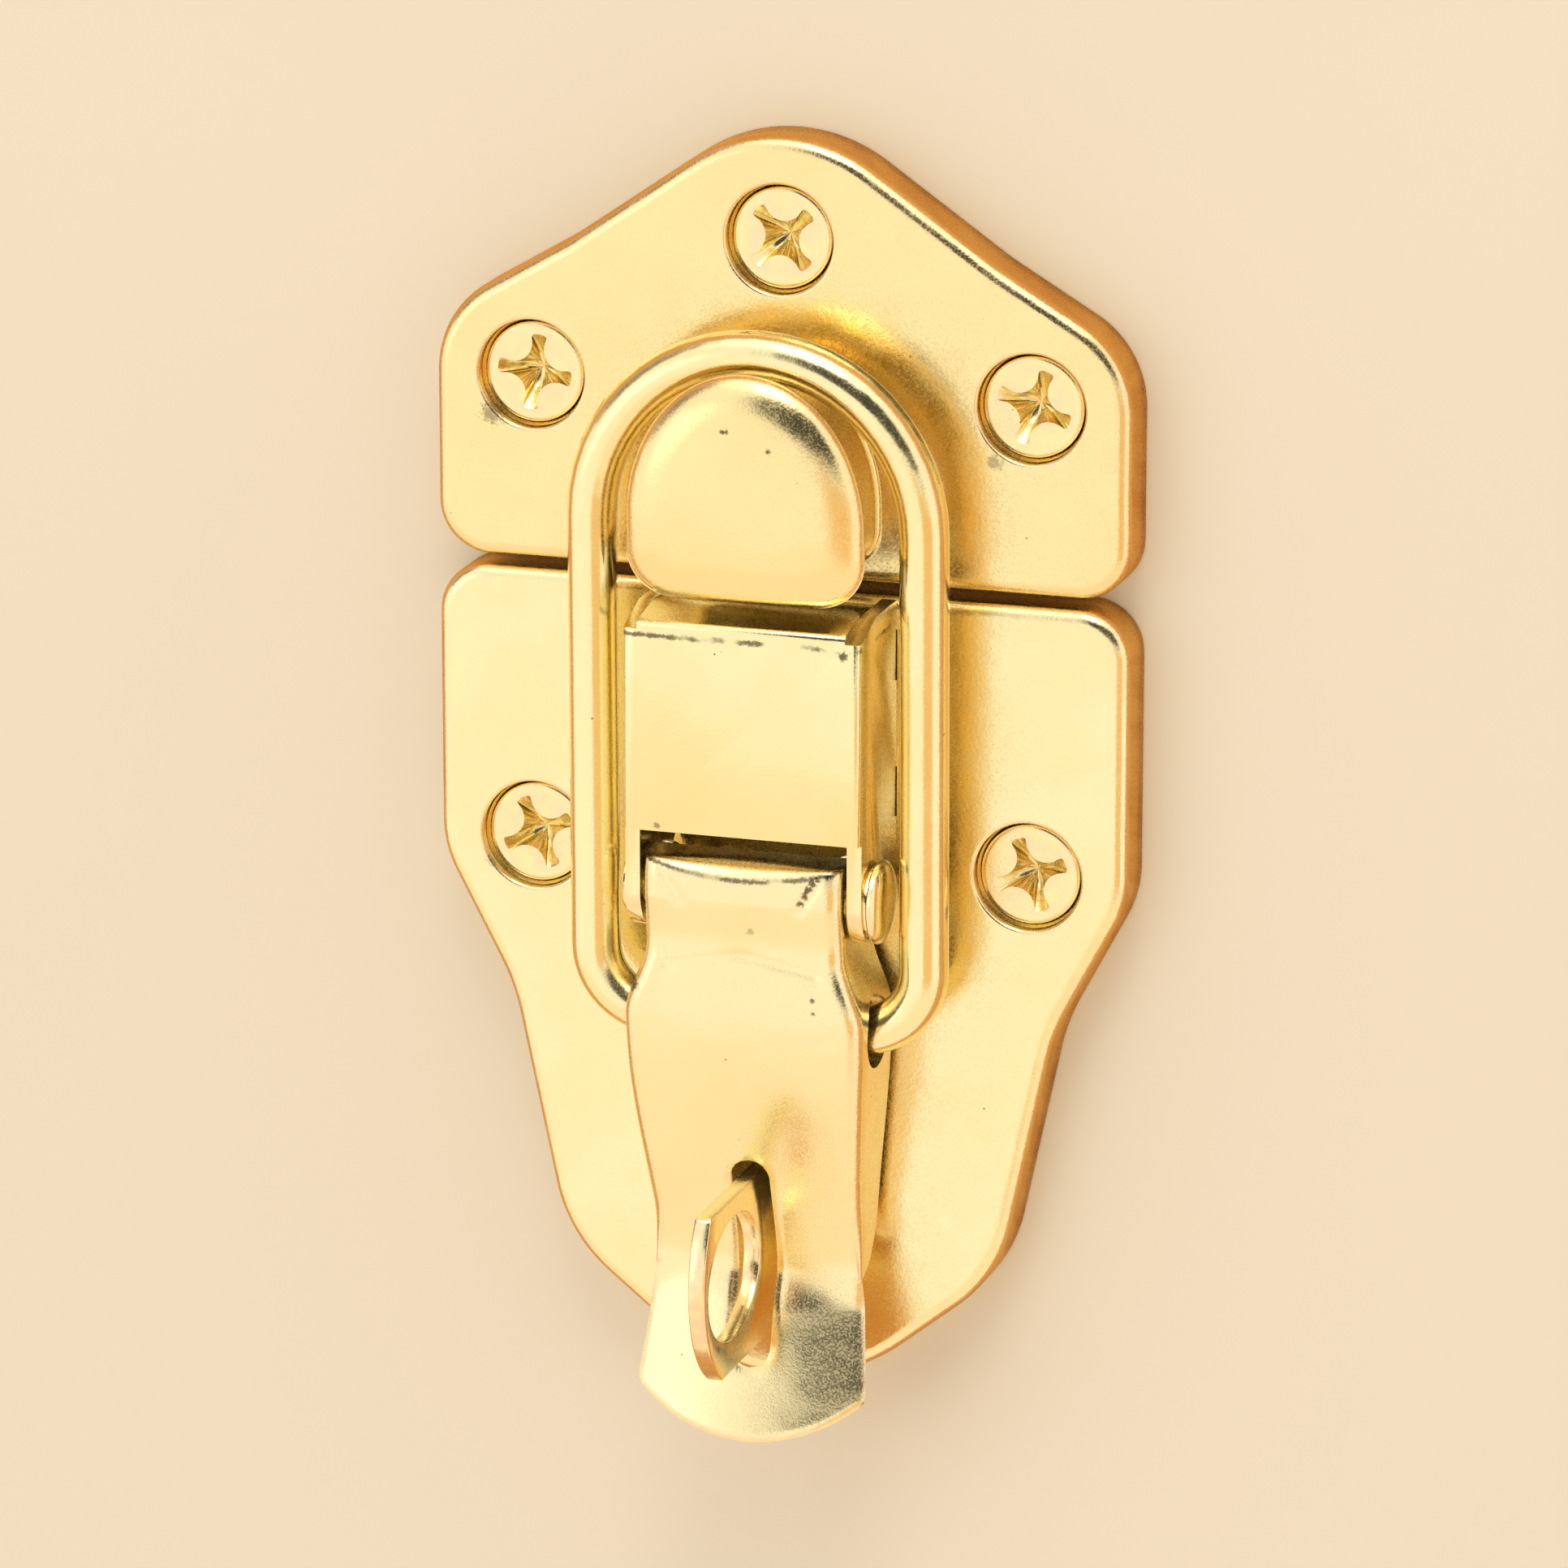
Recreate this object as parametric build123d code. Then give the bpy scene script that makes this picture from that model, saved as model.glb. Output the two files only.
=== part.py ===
from build123d import *

import os

# Locking draw latch, in millimetres. The latch is screwed to an upright wall:
# X runs to the right, Z up from the box towards the lid, and the front faces -Y.
# The wall is the plane Y = 0. The origin lies on it, on the centre line, at the
# parting line between lid and box. A height is a distance out from the wall.

# Pan plates
plate_width = 42.9
plate_sheet = 1.1
pan_height = 3.7
pan_edge_radius = 0.9
pan_inner_radius = 0.3
plate_gap = 0.56

# Keeper plate outline
keeper_corner_radius = 3.2
keeper_shoulder_z = 14.95
keeper_shoulder_radius = 6.2
keeper_flank_x = 13.2
keeper_flank_z = 19.8
keeper_flank_radius = 15.0
keeper_peak_z = 28.95
keeper_peak_radius = 9.9

# Base plate outline
base_corner_radius = 3.1
base_shoulder_z = -18.1
base_shoulder_radius = 7.0
base_waist_x = 17.0
base_waist_z = -26.5
base_waist_radius = 13.0
base_hip_x = 13.7
base_hip_z = -42.1
base_hip_radius = 9.5
base_point_z = -53.1
base_point_radius = 12.0

# Countersunk wood screws and the dished holes that they sit in
screw_head_radius = 3.05
screw_head_rim = 0.25
screw_shank_radius = 1.5
screw_neck_radius = 1.3
screw_neck_depth = 0.4
screw_length = 13.0
screw_tip_length = 3.5
screw_recess = 0.7
screw_seat_gap = 0.03
dish_radius = 3.3
dish_edge_radius = 0.2
screw_hole_radius = 1.75
cross_width = 0.85
cross_reach = 2.25
cross_well = 1.0
cross_depth = 1.6
cross_floor_share = 0.35
side_screw_edge = 6.05
keeper_side_screw_z = 11.6
keeper_top_screw_z = 20.7
base_side_screw_z = -16.8

# Hook, drawn from the keeper plate's sheet
hook_half_width = 7.3
hook_bottom_z = 0.45
hook_top_z = 14.1
hook_shoulder_z = 5.1
hook_corner_radius = 2.3
hook_corner_share = 0.5
hook_brim_overhang = 1.2
hook_brim_thickness = 1.95
hook_crown_radius = 45.0
hook_rim_radius = 1.45
hook_wall = 1.0

# Bail wire
wire_radius = 1.475
bail_corner_radius = 4.0
bail_side_gap = 0.5
neck_gap = 0.375
brim_gap = 0.6
hooked_wire_height = 4.25
crossbar_height = 3.8
crossbar_z = -25.9

# Pivot pin
pin_height = 4.5
pin_z = -17.7
pin_radius = 1.25
pin_head_radius = 2.52
pin_head_thickness = 0.75
pin_head_edge = 0.25
pin_peen_radius = 1.8
pin_peen_thickness = 0.5
pin_seat_gap = 0.02
pin_running_gap = 0.05

# Pivot bracket
bracket_width = 14.58
bracket_sheet = 0.9
bracket_height = 7.46
bracket_front_z = -0.9
bracket_bend_radius = 0.4
bracket_flap_drop = 4.0
bracket_flap_lean = 0.6
bracket_flap_inset = 0.9
bracket_flap_corner = 1.2
bracket_corner_notch = 0.5
bracket_wall_nose = 0.45
bracket_nose_height = 4.2
ear_radius = 2.5
ear_pad_thickness = 0.2
ear_foot_reach = 2.2
ear_edge_drop = 0.35
lever_open_gap = 0.85

# Staked tabs, peened behind the base plate
tab_length = 3.0
tab_gap = 0.05
tab_head_thickness = 0.5
tab_head_margin = 0.4
bracket_tab_inset = 1.4

# Lever
lever_sheet = 0.95
lever_side_gap = 0.24
lever_upper_reach = 2.5
lever_roll_radius = 2.0
lever_neck_height = 7.7
lever_shoulder_height = 7.65
lever_knee_height = 7.4
lever_waist_height = 4.15
lever_tip_height = 6.1
lever_end_height = 6.9
lever_neck_end_z = -20.0
lever_shoulder_z = -25.2
lever_knee_z = -30.3
lever_waist_z = -41.2
lever_tip_z = -47.0
lever_end_z = -51.4
lever_shoulder_flare = 1.25
lever_waist_flare = 0.33
lever_tip_flare = 0.97
lever_end_sagitta = 2.6
lever_end_corner = 1.2
flange_height = 1.0
flange_heel_z = -37.6
flange_front_drop = 3.8
wire_hole_gap = 0.75

# Padlock staple
staple_thickness = 1.05
staple_width = 10.7
staple_z = -40.25
staple_height = 16.1
staple_crest_rise = 1.55
staple_upper_drop = 1.4
staple_lower_drop = 3.5
eye_width = 7.5
eye_height = 9.9
eye_wall = 0.8
eye_rise = 0.4
staple_tab_width = 6.0
slot_side_gap = 0.8
slot_near_gap = 0.4
slot_far_gap = 1.6

# Worked out from the sizes above
half_width = plate_width / 2
plate_underside = pan_height - plate_sheet
bracket_half = bracket_width / 2
ear_face = bracket_half + ear_pad_thickness
bail_inner_half = ear_face + pin_head_thickness + bail_side_gap
bail_half = bail_inner_half + wire_radius
lever_neck_half = bracket_half - bracket_sheet - lever_side_gap
lever_shoulder_half = lever_neck_half + lever_shoulder_flare
lever_waist_half = lever_neck_half + lever_waist_flare
lever_tip_half = lever_neck_half + lever_tip_flare
hook_neck_top_z = hook_top_z - hook_brim_overhang
bail_top_z = hook_neck_top_z + neck_gap + wire_radius
brim_height = hooked_wire_height + wire_radius + brim_gap
lever_rise = lever_neck_height - pin_height
bracket_rear_z = pin_z + lever_rise + lever_open_gap
lever_upper_z = pin_z + lever_upper_reach
side_screw_x = half_width - side_screw_edge
screw_head_height = pan_height - screw_recess
screw_rim_bottom = screw_head_height - screw_head_rim
slot_half_width = staple_thickness / 2 + slot_side_gap
slot_near_z = staple_z + staple_width / 2 + slot_near_gap
slot_far_z = staple_z - staple_width / 2 - slot_far_gap
wire_hole_radius = wire_radius + wire_hole_gap
eye_centre_height = staple_height - eye_wall - eye_height / 2
beyond = 60.0
half_turn = 180.0

# Name: place across, place up, turn of the cross recess in degrees
screws = {
    "keeper_screw_top": (0.0, keeper_top_screw_z, 42.0),
    "keeper_screw_left": (-side_screw_x, keeper_side_screw_z, -8.0),
    "keeper_screw_right": (side_screw_x, keeper_side_screw_z, -20.0),
    "base_screw_left": (-side_screw_x, base_side_screw_z, 25.0),
    "base_screw_right": (side_screw_x, base_side_screw_z, 20.0),
}

# Side view: the sketch's first coordinate is a height over the plate's top, its
# second is Z. Both bracket and lever are drawn this way.
side_plane = Plane(origin=(0, -pan_height, 0), x_dir=(0, -1, 0), z_dir=(-1, 0, 0))


def slab(sketch, low, high):
    """Block with a front-view outline, from one height over the wall to another."""
    return extrude(Plane.XZ.offset(low) * sketch, amount=high - low)


def side_slab(sketch, half_thickness):
    """Block with a side-view outline, spread evenly to both sides."""
    return extrude(side_plane * sketch, amount=half_thickness, both=True)


def turned(points, x, z):
    """Solid turned about a screw's axis from (radius, height) points."""
    section_plane = Plane(origin=(x, 0, z), x_dir=(1, 0, 0), z_dir=(0, 0, -1))
    section = section_plane * make_face(Polyline(*points, close=True))
    return revolve(section, axis=Axis((x, 0, z), (0, -1, 0)))


def cross_cylinder(radius, half_length, height, z):
    """Round bar along X, at a height over the plate's top."""
    centre = Plane(origin=(0, -pan_height - height, z), x_dir=(0, 0, 1), z_dir=(1, 0, 0))
    return extrude(centre * Circle(radius), amount=half_length, both=True)


def both_sides(points, radii):
    """Closed outline from its right half, listed from bottom to top."""
    left = [(-x, z) for x, z in reversed(points) if x > 0]
    left_radii = [r for (x, z), r in zip(reversed(points), reversed(radii)) if x > 0]
    outline = FilletPolyline(*points, *left, radius=[*radii, *left_radii], close=True)
    return make_face(outline)


def keeper_outline():
    """Straight at the parting line, then an ogee up to a rounded peak."""
    points = [
        (half_width, plate_gap / 2),
        (half_width, keeper_shoulder_z),
        (keeper_flank_x, keeper_flank_z),
        (0, keeper_peak_z),
    ]
    radii = [
        keeper_corner_radius,
        keeper_shoulder_radius,
        keeper_flank_radius,
        keeper_peak_radius,
    ]
    return both_sides(points, radii)


def base_outline():
    """Shield: straight sides, a drawn-in waist and a rounded point."""
    points = [
        (0, base_point_z),
        (base_hip_x, base_hip_z),
        (base_waist_x, base_waist_z),
        (half_width, base_shoulder_z),
        (half_width, -plate_gap / 2),
    ]
    radii = [
        base_point_radius,
        base_hip_radius,
        base_waist_radius,
        base_shoulder_radius,
        base_corner_radius,
    ]
    return both_sides(points, radii)


def pan(outline):
    """Pressed plate with a skirt all round and an open back."""
    outside = slab(outline, 0, pan_height)
    outside = fillet(outside.faces().sort_by(Axis.Y)[0].edges(), pan_edge_radius)
    inside = slab(offset(outline, -plate_sheet), 0, plate_underside)
    inside = fillet(inside.faces().sort_by(Axis.Y)[0].edges(), pan_inner_radius)
    return outside - inside


def dish_backing(x, z):
    """Sheet of the dished hole, which reaches back to the wall."""
    foot = screw_hole_radius + plate_sheet
    side = dish_radius + plate_sheet
    points = [
        (0, 0),
        (foot, 0),
        (side, side - foot),
        (side, plate_underside + plate_sheet / 2),
        (0, plate_underside + plate_sheet / 2),
    ]
    return turned(points, x, z)


def dish_hollow(x, z):
    """Space of the dished hole, with a rounded rim and a cone for the head."""
    cone_top = screw_rim_bottom + dish_radius - screw_head_radius - screw_seat_gap
    cone_bottom = cone_top - (dish_radius - screw_hole_radius)
    well = [
        (0, pan_height + dish_edge_radius),
        (dish_radius, pan_height + dish_edge_radius),
        (dish_radius, cone_top),
        (screw_hole_radius, cone_bottom),
        (screw_hole_radius, -dish_edge_radius),
        (0, -dish_edge_radius),
    ]
    return turned(well, x, z)


def dished(plate, places):
    """Plate with its dished screw holes."""
    for x, z in places:
        plate = plate + dish_backing(x, z)
    for x, z in places:
        plate = plate - dish_hollow(x, z)
        rim = [
            edge
            for edge in plate.edges().filter_by(GeomType.CIRCLE)
            if abs(edge.radius - dish_radius) < screw_seat_gap
            and abs(edge.arc_center.Y + pan_height) < screw_seat_gap
            and abs(edge.arc_center.X - x) < screw_seat_gap
            and abs(edge.arc_center.Z - z) < screw_seat_gap
        ]
        plate = fillet(rim, dish_edge_radius)
    return plate


def screw_places(prefix):
    """Places of the screws whose names start with this prefix."""
    return [(x, z) for name, (x, z, turn) in screws.items() if name.startswith(prefix)]


def hook_outline(inset):
    """Thimble shape of the hook, moved in by an inset: a half ellipse on a base."""
    half = hook_half_width - inset
    bottom = hook_bottom_z + inset
    corner = hook_corner_radius - inset * hook_corner_share
    rise = hook_top_z - hook_shoulder_z - inset
    crown = EllipticalCenterArc((0, hook_shoulder_z), half, rise, 0, arc_size=half_turn)
    base = FilletPolyline(
        (-half, hook_shoulder_z),
        (-half, bottom),
        (half, bottom),
        (half, hook_shoulder_z),
        radius=corner,
    )
    return make_face([crown, base])


def hook():
    """Domed hook: a neck, and a brim over it that the bail's wire slides under."""
    brim_low = pan_height + brim_height
    brim_high = brim_low + hook_brim_thickness
    middle_z = (hook_bottom_z + hook_top_z) / 2
    ball = Pos(0, hook_crown_radius - brim_high, middle_z) * Sphere(hook_crown_radius)
    cap = slab(hook_outline(0), brim_low, brim_high + hook_brim_thickness) & ball
    cap = fillet(cap.faces().sort_by(Axis.Y)[0].edges(), hook_rim_radius)
    neck = slab(hook_outline(hook_brim_overhang), plate_underside, brim_low + hook_wall)
    return cap + neck


def hook_hollow():
    """Inside of the hook, open at the back of the plate."""
    crown = pan_height + brim_height + hook_brim_thickness - hook_wall
    return slab(hook_outline(hook_brim_overhang + hook_wall), 0, crown)


def keeper_plate():
    """Upper plate with its hook."""
    plate = pan(keeper_outline())
    plate = plate + hook()
    plate = plate - hook_hollow()
    return dished(plate, screw_places("keeper"))


def bracket_tab_places():
    """Middle of each bracket tab, across and up."""
    x = bracket_half - bracket_sheet / 2
    upper = bracket_front_z - bracket_tab_inset - tab_length / 2
    lower = bracket_rear_z + tab_length / 2
    return [(side * x, z) for side in (-1, 1) for z in (lower, upper)]


def tab_slot(width, length, x, z):
    """Slot through the base plate for a staked tab."""
    opening = Pos(x, z) * Rectangle(width + 2 * tab_gap, length + 2 * tab_gap)
    return slab(opening, 0, pan_height + tab_head_thickness)


def staked_tab(width, length, x, z):
    """Tab that passes through the plate, with its peened head behind it."""
    stem = slab(Pos(x, z) * Rectangle(width, length), plate_underside, pan_height)
    wide = width + 2 * tab_head_margin
    long = length + 2 * tab_head_margin
    head_low = plate_underside - tab_head_thickness
    head = slab(Pos(x, z) * RectangleRounded(wide, long, tab_head_margin), head_low, plate_underside)
    return stem + head


def base_plate():
    """Lower plate with the slots that the bracket and the staple are staked in."""
    plate = dished(pan(base_outline()), screw_places("base"))
    for x, z in bracket_tab_places():
        plate = plate - tab_slot(bracket_sheet, tab_length, x, z)
    return plate - tab_slot(staple_thickness, staple_tab_width, 0, staple_z)


def wood_screw(x, z, turn):
    """Countersunk wood screw: head with a cross recess, thin neck, shank and point."""
    cone_bottom = screw_rim_bottom - (screw_head_radius - screw_neck_radius)
    tip = screw_head_height - screw_length
    body = turned(
        [
            (0, screw_head_height),
            (screw_head_radius, screw_head_height),
            (screw_head_radius, screw_rim_bottom),
            (screw_neck_radius, cone_bottom),
            (screw_neck_radius, -screw_neck_depth),
            (screw_shank_radius, -screw_neck_depth),
            (screw_shank_radius, tip + screw_tip_length),
            (0, tip),
        ],
        x,
        z,
    )
    top = Plane(origin=(x, -screw_head_height, z), x_dir=(1, 0, 0), z_dir=(0, -1, 0))
    floor = top.offset(-cross_depth)
    for blade_turn in (turn, turn + half_turn / 2):
        wide = top * Rot(0, 0, blade_turn) * Rectangle(2 * cross_reach, cross_width)
        narrow_reach = 2 * cross_reach * cross_floor_share
        narrow = floor * Rot(0, 0, blade_turn) * Rectangle(narrow_reach, cross_width / 2)
        body = body - loft([wide, narrow])
    square = Rot(0, 0, turn + half_turn / 4) * Rectangle(2 * cross_well, 2 * cross_well)
    small = 2 * cross_well * cross_floor_share
    well_floor = Rot(0, 0, turn + half_turn / 4) * Rectangle(small, small)
    return body - loft([top * square, floor * well_floor])


def bracket_wall():
    """Side view of the bracket's wall, from its cut nose to its rounded ear."""
    nose_z = bracket_front_z + bracket_wall_nose
    shoulder = bracket_height - bracket_sheet / 2
    wall = Polyline(
        (0, nose_z),
        (bracket_nose_height, nose_z),
        (shoulder, bracket_front_z - bracket_corner_notch),
        (shoulder, bracket_rear_z),
        (pin_height + ear_radius, pin_z),
        (pin_height - ear_radius, pin_z),
        (0, pin_z + ear_foot_reach),
        close=True,
    )
    return make_face(wall) + Pos(pin_height, pin_z) * Circle(ear_radius)


def bracket_top():
    """Side view of the bracket's flat top and the flap folded down at its front."""
    flap_low = bracket_height - bracket_flap_drop
    flap_z = bracket_front_z + bracket_flap_lean
    strip = Polyline(
        (bracket_height, bracket_rear_z),
        (bracket_height, bracket_front_z),
        (flap_low, flap_z),
        (flap_low, flap_z - bracket_sheet),
        (bracket_height - bracket_sheet, bracket_front_z - bracket_sheet),
        (bracket_height - bracket_sheet, bracket_rear_z),
        close=True,
    )
    return make_face(strip)


def bracket_notches():
    """Notches that part the flap from the side walls at both front corners."""
    low_z = bracket_front_z - bracket_corner_notch
    high_z = bracket_front_z + bracket_flap_lean
    x = bracket_half - bracket_flap_inset / 2
    opening = Rectangle(bracket_flap_inset, high_z - low_z)
    middle_z = (low_z + high_z) / 2
    both = [slab(Pos(side * x, middle_z) * opening, 0, beyond) for side in (-1, 1)]
    return both[0] + both[1]


def pivot_bracket():
    """Folded housing: top, flap, two walls with ears, and four staked tabs."""
    block = side_slab(bracket_wall(), bracket_half)
    room = side_slab(bracket_wall(), bracket_half - bracket_sheet)
    walls = block - room
    top = side_slab(bracket_top(), bracket_half)
    bends = [
        edge
        for edge in top.edges().filter_by(Axis.Z)
        if abs(edge.center().Y + pan_height + bracket_height) < bracket_bend_radius
    ]
    fold = [
        edge
        for edge in top.edges().filter_by(Axis.X)
        if abs(edge.center().Y + pan_height + bracket_height) < bracket_bend_radius
        and edge.center().Z > bracket_front_z - bracket_bend_radius
    ]
    top = fillet(bends + fold, bracket_bend_radius) - bracket_notches()
    flap_edge = bracket_half - bracket_flap_inset
    flap_low = bracket_height - bracket_flap_drop
    flap_corners = [
        edge
        for edge in top.edges()
        if abs(abs(edge.center().X) - flap_edge) < pin_seat_gap
        and abs(edge.center().Y + pan_height + flap_low) < pin_seat_gap
    ]
    top = fillet(flap_corners, bracket_flap_corner)
    body = walls + top
    for side in (-1, 1):
        pad = Plane(
            origin=(side * bracket_half, -pan_height - pin_height, pin_z),
            x_dir=(0, 0, 1),
            z_dir=(side, 0, 0),
        )
        body = body + extrude(pad * Circle(ear_radius - ear_edge_drop), amount=ear_pad_thickness)
    for x, z in bracket_tab_places():
        body = body + staked_tab(bracket_sheet, tab_length, x, z)
    return body - cross_cylinder(pin_radius + pin_seat_gap, beyond, pin_height, pin_z)


def pivot_pin():
    """Rivet: shank through both ears, round head right, peened end left."""
    shank = cross_cylinder(pin_radius, ear_face, pin_height, pin_z)
    head_plane = Plane(
        origin=(ear_face, -pan_height - pin_height, pin_z), x_dir=(0, 0, 1), z_dir=(1, 0, 0)
    )
    head = extrude(head_plane * Circle(pin_head_radius), amount=pin_head_thickness)
    head = fillet(head.faces().sort_by(Axis.X)[-1].edges(), pin_head_edge)
    peen_plane = Plane(
        origin=(-ear_face, -pan_height - pin_height, pin_z), x_dir=(0, 0, 1), z_dir=(-1, 0, 0)
    )
    peen = extrude(peen_plane * Circle(pin_peen_radius), amount=pin_peen_thickness)
    peen = fillet(peen.faces().sort_by(Axis.X)[0].edges(), pin_head_edge)
    return shank + head + peen


def lever_path(inset):
    """Side-view line of the lever's sheet, at a depth under its outer face."""
    roll_z = lever_upper_z - lever_roll_radius
    roll_height = lever_neck_height - lever_roll_radius
    radius = lever_roll_radius - inset
    points = [
        (lever_neck_height, roll_z),
        (lever_neck_height, lever_neck_end_z),
        (lever_shoulder_height, lever_shoulder_z),
        (lever_knee_height, lever_knee_z),
        (lever_waist_height, lever_waist_z),
        (lever_tip_height, lever_tip_z),
        (lever_end_height, lever_end_z),
    ]
    shifted = [(lever_neck_height - inset, roll_z)]
    for index, (height, z) in enumerate(points[1:], start=1):
        before = points[index - 1]
        after = points[min(index + 1, len(points) - 1)]
        along = Vector(after[0] - before[0], after[1] - before[1]).normalized()
        shifted.append((height + inset * along.Y, z - inset * along.X))
    start = (pin_height, lever_upper_z - inset)
    roll_start = (roll_height, lever_upper_z - inset)
    middle = Vector(roll_height, roll_z) + Vector(radius, radius) * 0.5**0.5
    path = [
        Line(start, roll_start),
        ThreePointArc(roll_start, middle, shifted[0]),
        Spline(*shifted, tangents=[(0, -1), (1, -4)]),
    ]
    return path, start, shifted[-1]


def lever_region(inset):
    """Side view of everything behind the line of the lever's sheet."""
    path, start, end = lever_path(inset)
    back = -beyond
    close = Polyline(end, (back, end[1]), (back, start[1]), start)
    return make_face([*path, close])


def lever_strip():
    """Side view of the lever's sheet alone, from its rolled end to its tip."""
    outer, outer_start, outer_end = lever_path(0)
    inner, inner_start, inner_end = lever_path(lever_sheet)
    ends = [Line(outer_end, inner_end), Line(inner_start, outer_start)]
    return make_face([*outer, *inner, *ends])


def lever_flange():
    """Side view of the lever's flange, rounded at the pin and at its heel."""
    upper = beyond / 2
    lower_pin = (pin_height - lever_upper_reach, pin_z)
    corner = (pin_height, lever_upper_z)
    middle = Vector(pin_height, pin_z) + Vector(-1, 1) * (lever_upper_reach * 0.5**0.5)
    front = (lever_waist_height - lever_sheet, lever_waist_z)
    edges = [
        Line((upper, lever_upper_z), corner),
        ThreePointArc(corner, middle, lower_pin),
        Line(lower_pin, (flange_height, pin_z - flange_front_drop)),
        Line((flange_height, pin_z - flange_front_drop), (flange_height, flange_heel_z)),
        Spline((flange_height, flange_heel_z), front, tangents=[(0, -1), (1, -0.2)]),
        Line(front, (upper, lever_waist_z)),
        Line((upper, lever_waist_z), (upper, lever_upper_z)),
    ]
    return make_face(edges)


def lever_side_line(inset):
    """Right edge of the lever from its upper end to its waist, moved in by an inset."""
    neck = lever_neck_half - inset
    shoulder = lever_shoulder_half - inset
    upper_z = lever_upper_z - inset
    return [
        Line((0, upper_z), (neck, upper_z)),
        Line((neck, upper_z), (neck, lever_neck_end_z)),
        Spline(
            (neck, lever_neck_end_z),
            (shoulder, lever_shoulder_z),
            tangents=[(0, -1), (0, -1)],
        ),
        Spline(
            (shoulder, lever_shoulder_z),
            (lever_waist_half - inset, lever_waist_z),
            tangents=[(0, -1), (0, -1)],
        ),
    ]


def lever_outline():
    """Front view: neck, flared shoulders, waist and a spoon-shaped end."""
    corner_z = lever_end_z + lever_end_sagitta
    right = lever_side_line(0)
    right.append(
        Spline(
            (lever_waist_half, lever_waist_z),
            (lever_tip_half, lever_tip_z),
            (lever_tip_half, corner_z),
            tangents=[(0, -1), (0, -1)],
        )
    )
    end = ThreePointArc((lever_tip_half, corner_z), (0, lever_end_z), (-lever_tip_half, corner_z))
    left = [mirror(edge, about=Plane.YZ) for edge in right]
    face = make_face([*right, end, *left])
    corners = [v for v in face.vertices() if abs(v.Y - corner_z) < lever_sheet / 10]
    return fillet(corners, lever_end_corner)


def lever_channel_outline():
    """Front view of the room inside the lever's channel, down to its waist."""
    right = lever_side_line(lever_sheet)
    low = Line((lever_waist_half - lever_sheet, lever_waist_z), (0, lever_waist_z))
    right.append(low)
    left = [mirror(edge, about=Plane.YZ) for edge in right]
    return make_face([*right, *left])


def lever_slot():
    """Long round-ended slot for the staple."""
    length = slot_near_z - slot_far_z
    middle_z = (slot_near_z + slot_far_z) / 2
    slot = Pos(0, middle_z) * Rot(0, 0, half_turn / 2) * SlotOverall(length, 2 * slot_half_width)
    return slab(slot, 0, beyond)


def lever():
    """Pressed channel with a flat end, on the pivot pin."""
    front = slab(lever_outline(), 0, beyond)
    side = (lever_region(0) & lever_flange()) + lever_strip()
    hollow = side_slab(lever_region(lever_sheet), beyond) & slab(lever_channel_outline(), 0, beyond)
    body = (side_slab(side, beyond) & front) - hollow
    body = body - lever_slot()
    body = body - cross_cylinder(pin_radius + pin_running_gap, beyond, pin_height, pin_z)
    return body - cross_cylinder(wire_hole_radius, beyond, crossbar_height, crossbar_z)


def bail():
    """Closed loop of wire: crossbar, two sides and a round end behind the hook."""
    rise = hooked_wire_height - crossbar_height
    run = bail_top_z - crossbar_z
    length = (rise**2 + run**2) ** 0.5
    loop_plane = Plane(
        origin=(0, -pan_height - crossbar_height, crossbar_z),
        x_dir=(1, 0, 0),
        z_dir=(0, -run, -rise),
    )
    side_top = length - bail_half
    corner = bail_corner_radius
    flat = bail_half - corner
    low = corner * (1 - 0.5**0.5)
    path = Wire(
        [
            Line((-flat, 0), (flat, 0)),
            ThreePointArc((flat, 0), (bail_half - low, low), (bail_half, corner)),
            Line((bail_half, corner), (bail_half, side_top)),
            ThreePointArc((bail_half, side_top), (0, length), (-bail_half, side_top)),
            Line((-bail_half, side_top), (-bail_half, corner)),
            ThreePointArc((-bail_half, corner), (-bail_half + low, low), (-flat, 0)),
        ]
    )
    section = Plane(origin=(0, 0, 0), z_dir=(1, 0, 0)) * Circle(wire_radius)
    loop = sweep(section, path=path)
    return loop_plane.location * loop


def padlock_staple():
    """Flat eye on edge, with a slanting crest and a tab through the base plate."""
    half = staple_width / 2
    upper = (staple_height - staple_upper_drop, staple_z + half)
    lower = (staple_height - staple_lower_drop, staple_z - half)
    crest = (staple_height, staple_z + staple_crest_rise)
    edges = [
        Line((0, staple_z - half), (0, staple_z + half)),
        Line((0, staple_z + half), upper),
        ThreePointArc(upper, crest, lower),
        Line(lower, (0, staple_z - half)),
    ]
    eye = Pos(eye_centre_height, staple_z + eye_rise) * Ellipse(eye_height / 2, eye_width / 2)
    plate = side_slab(make_face(edges) - eye, staple_thickness / 2)
    return plate + staked_tab(staple_thickness, staple_tab_width, 0, staple_z)


def main():
    """Build every piece and write it to its own file."""
    pieces = {
        "keeper_plate": keeper_plate(),
        "base_plate": base_plate(),
        "pivot_bracket": pivot_bracket(),
        "pivot_pin": pivot_pin(),
        "padlock_staple": padlock_staple(),
        "lever": lever(),
        "bail": bail(),
    }
    for name, (x, z, turn) in screws.items():
        pieces[name] = wood_screw(x, z, turn)
    os.makedirs("parts", exist_ok=True)
    for name, piece in pieces.items():
        piece.label = name
        export_step(piece, f"parts/{name}.step")


main()
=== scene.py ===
import math

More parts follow.
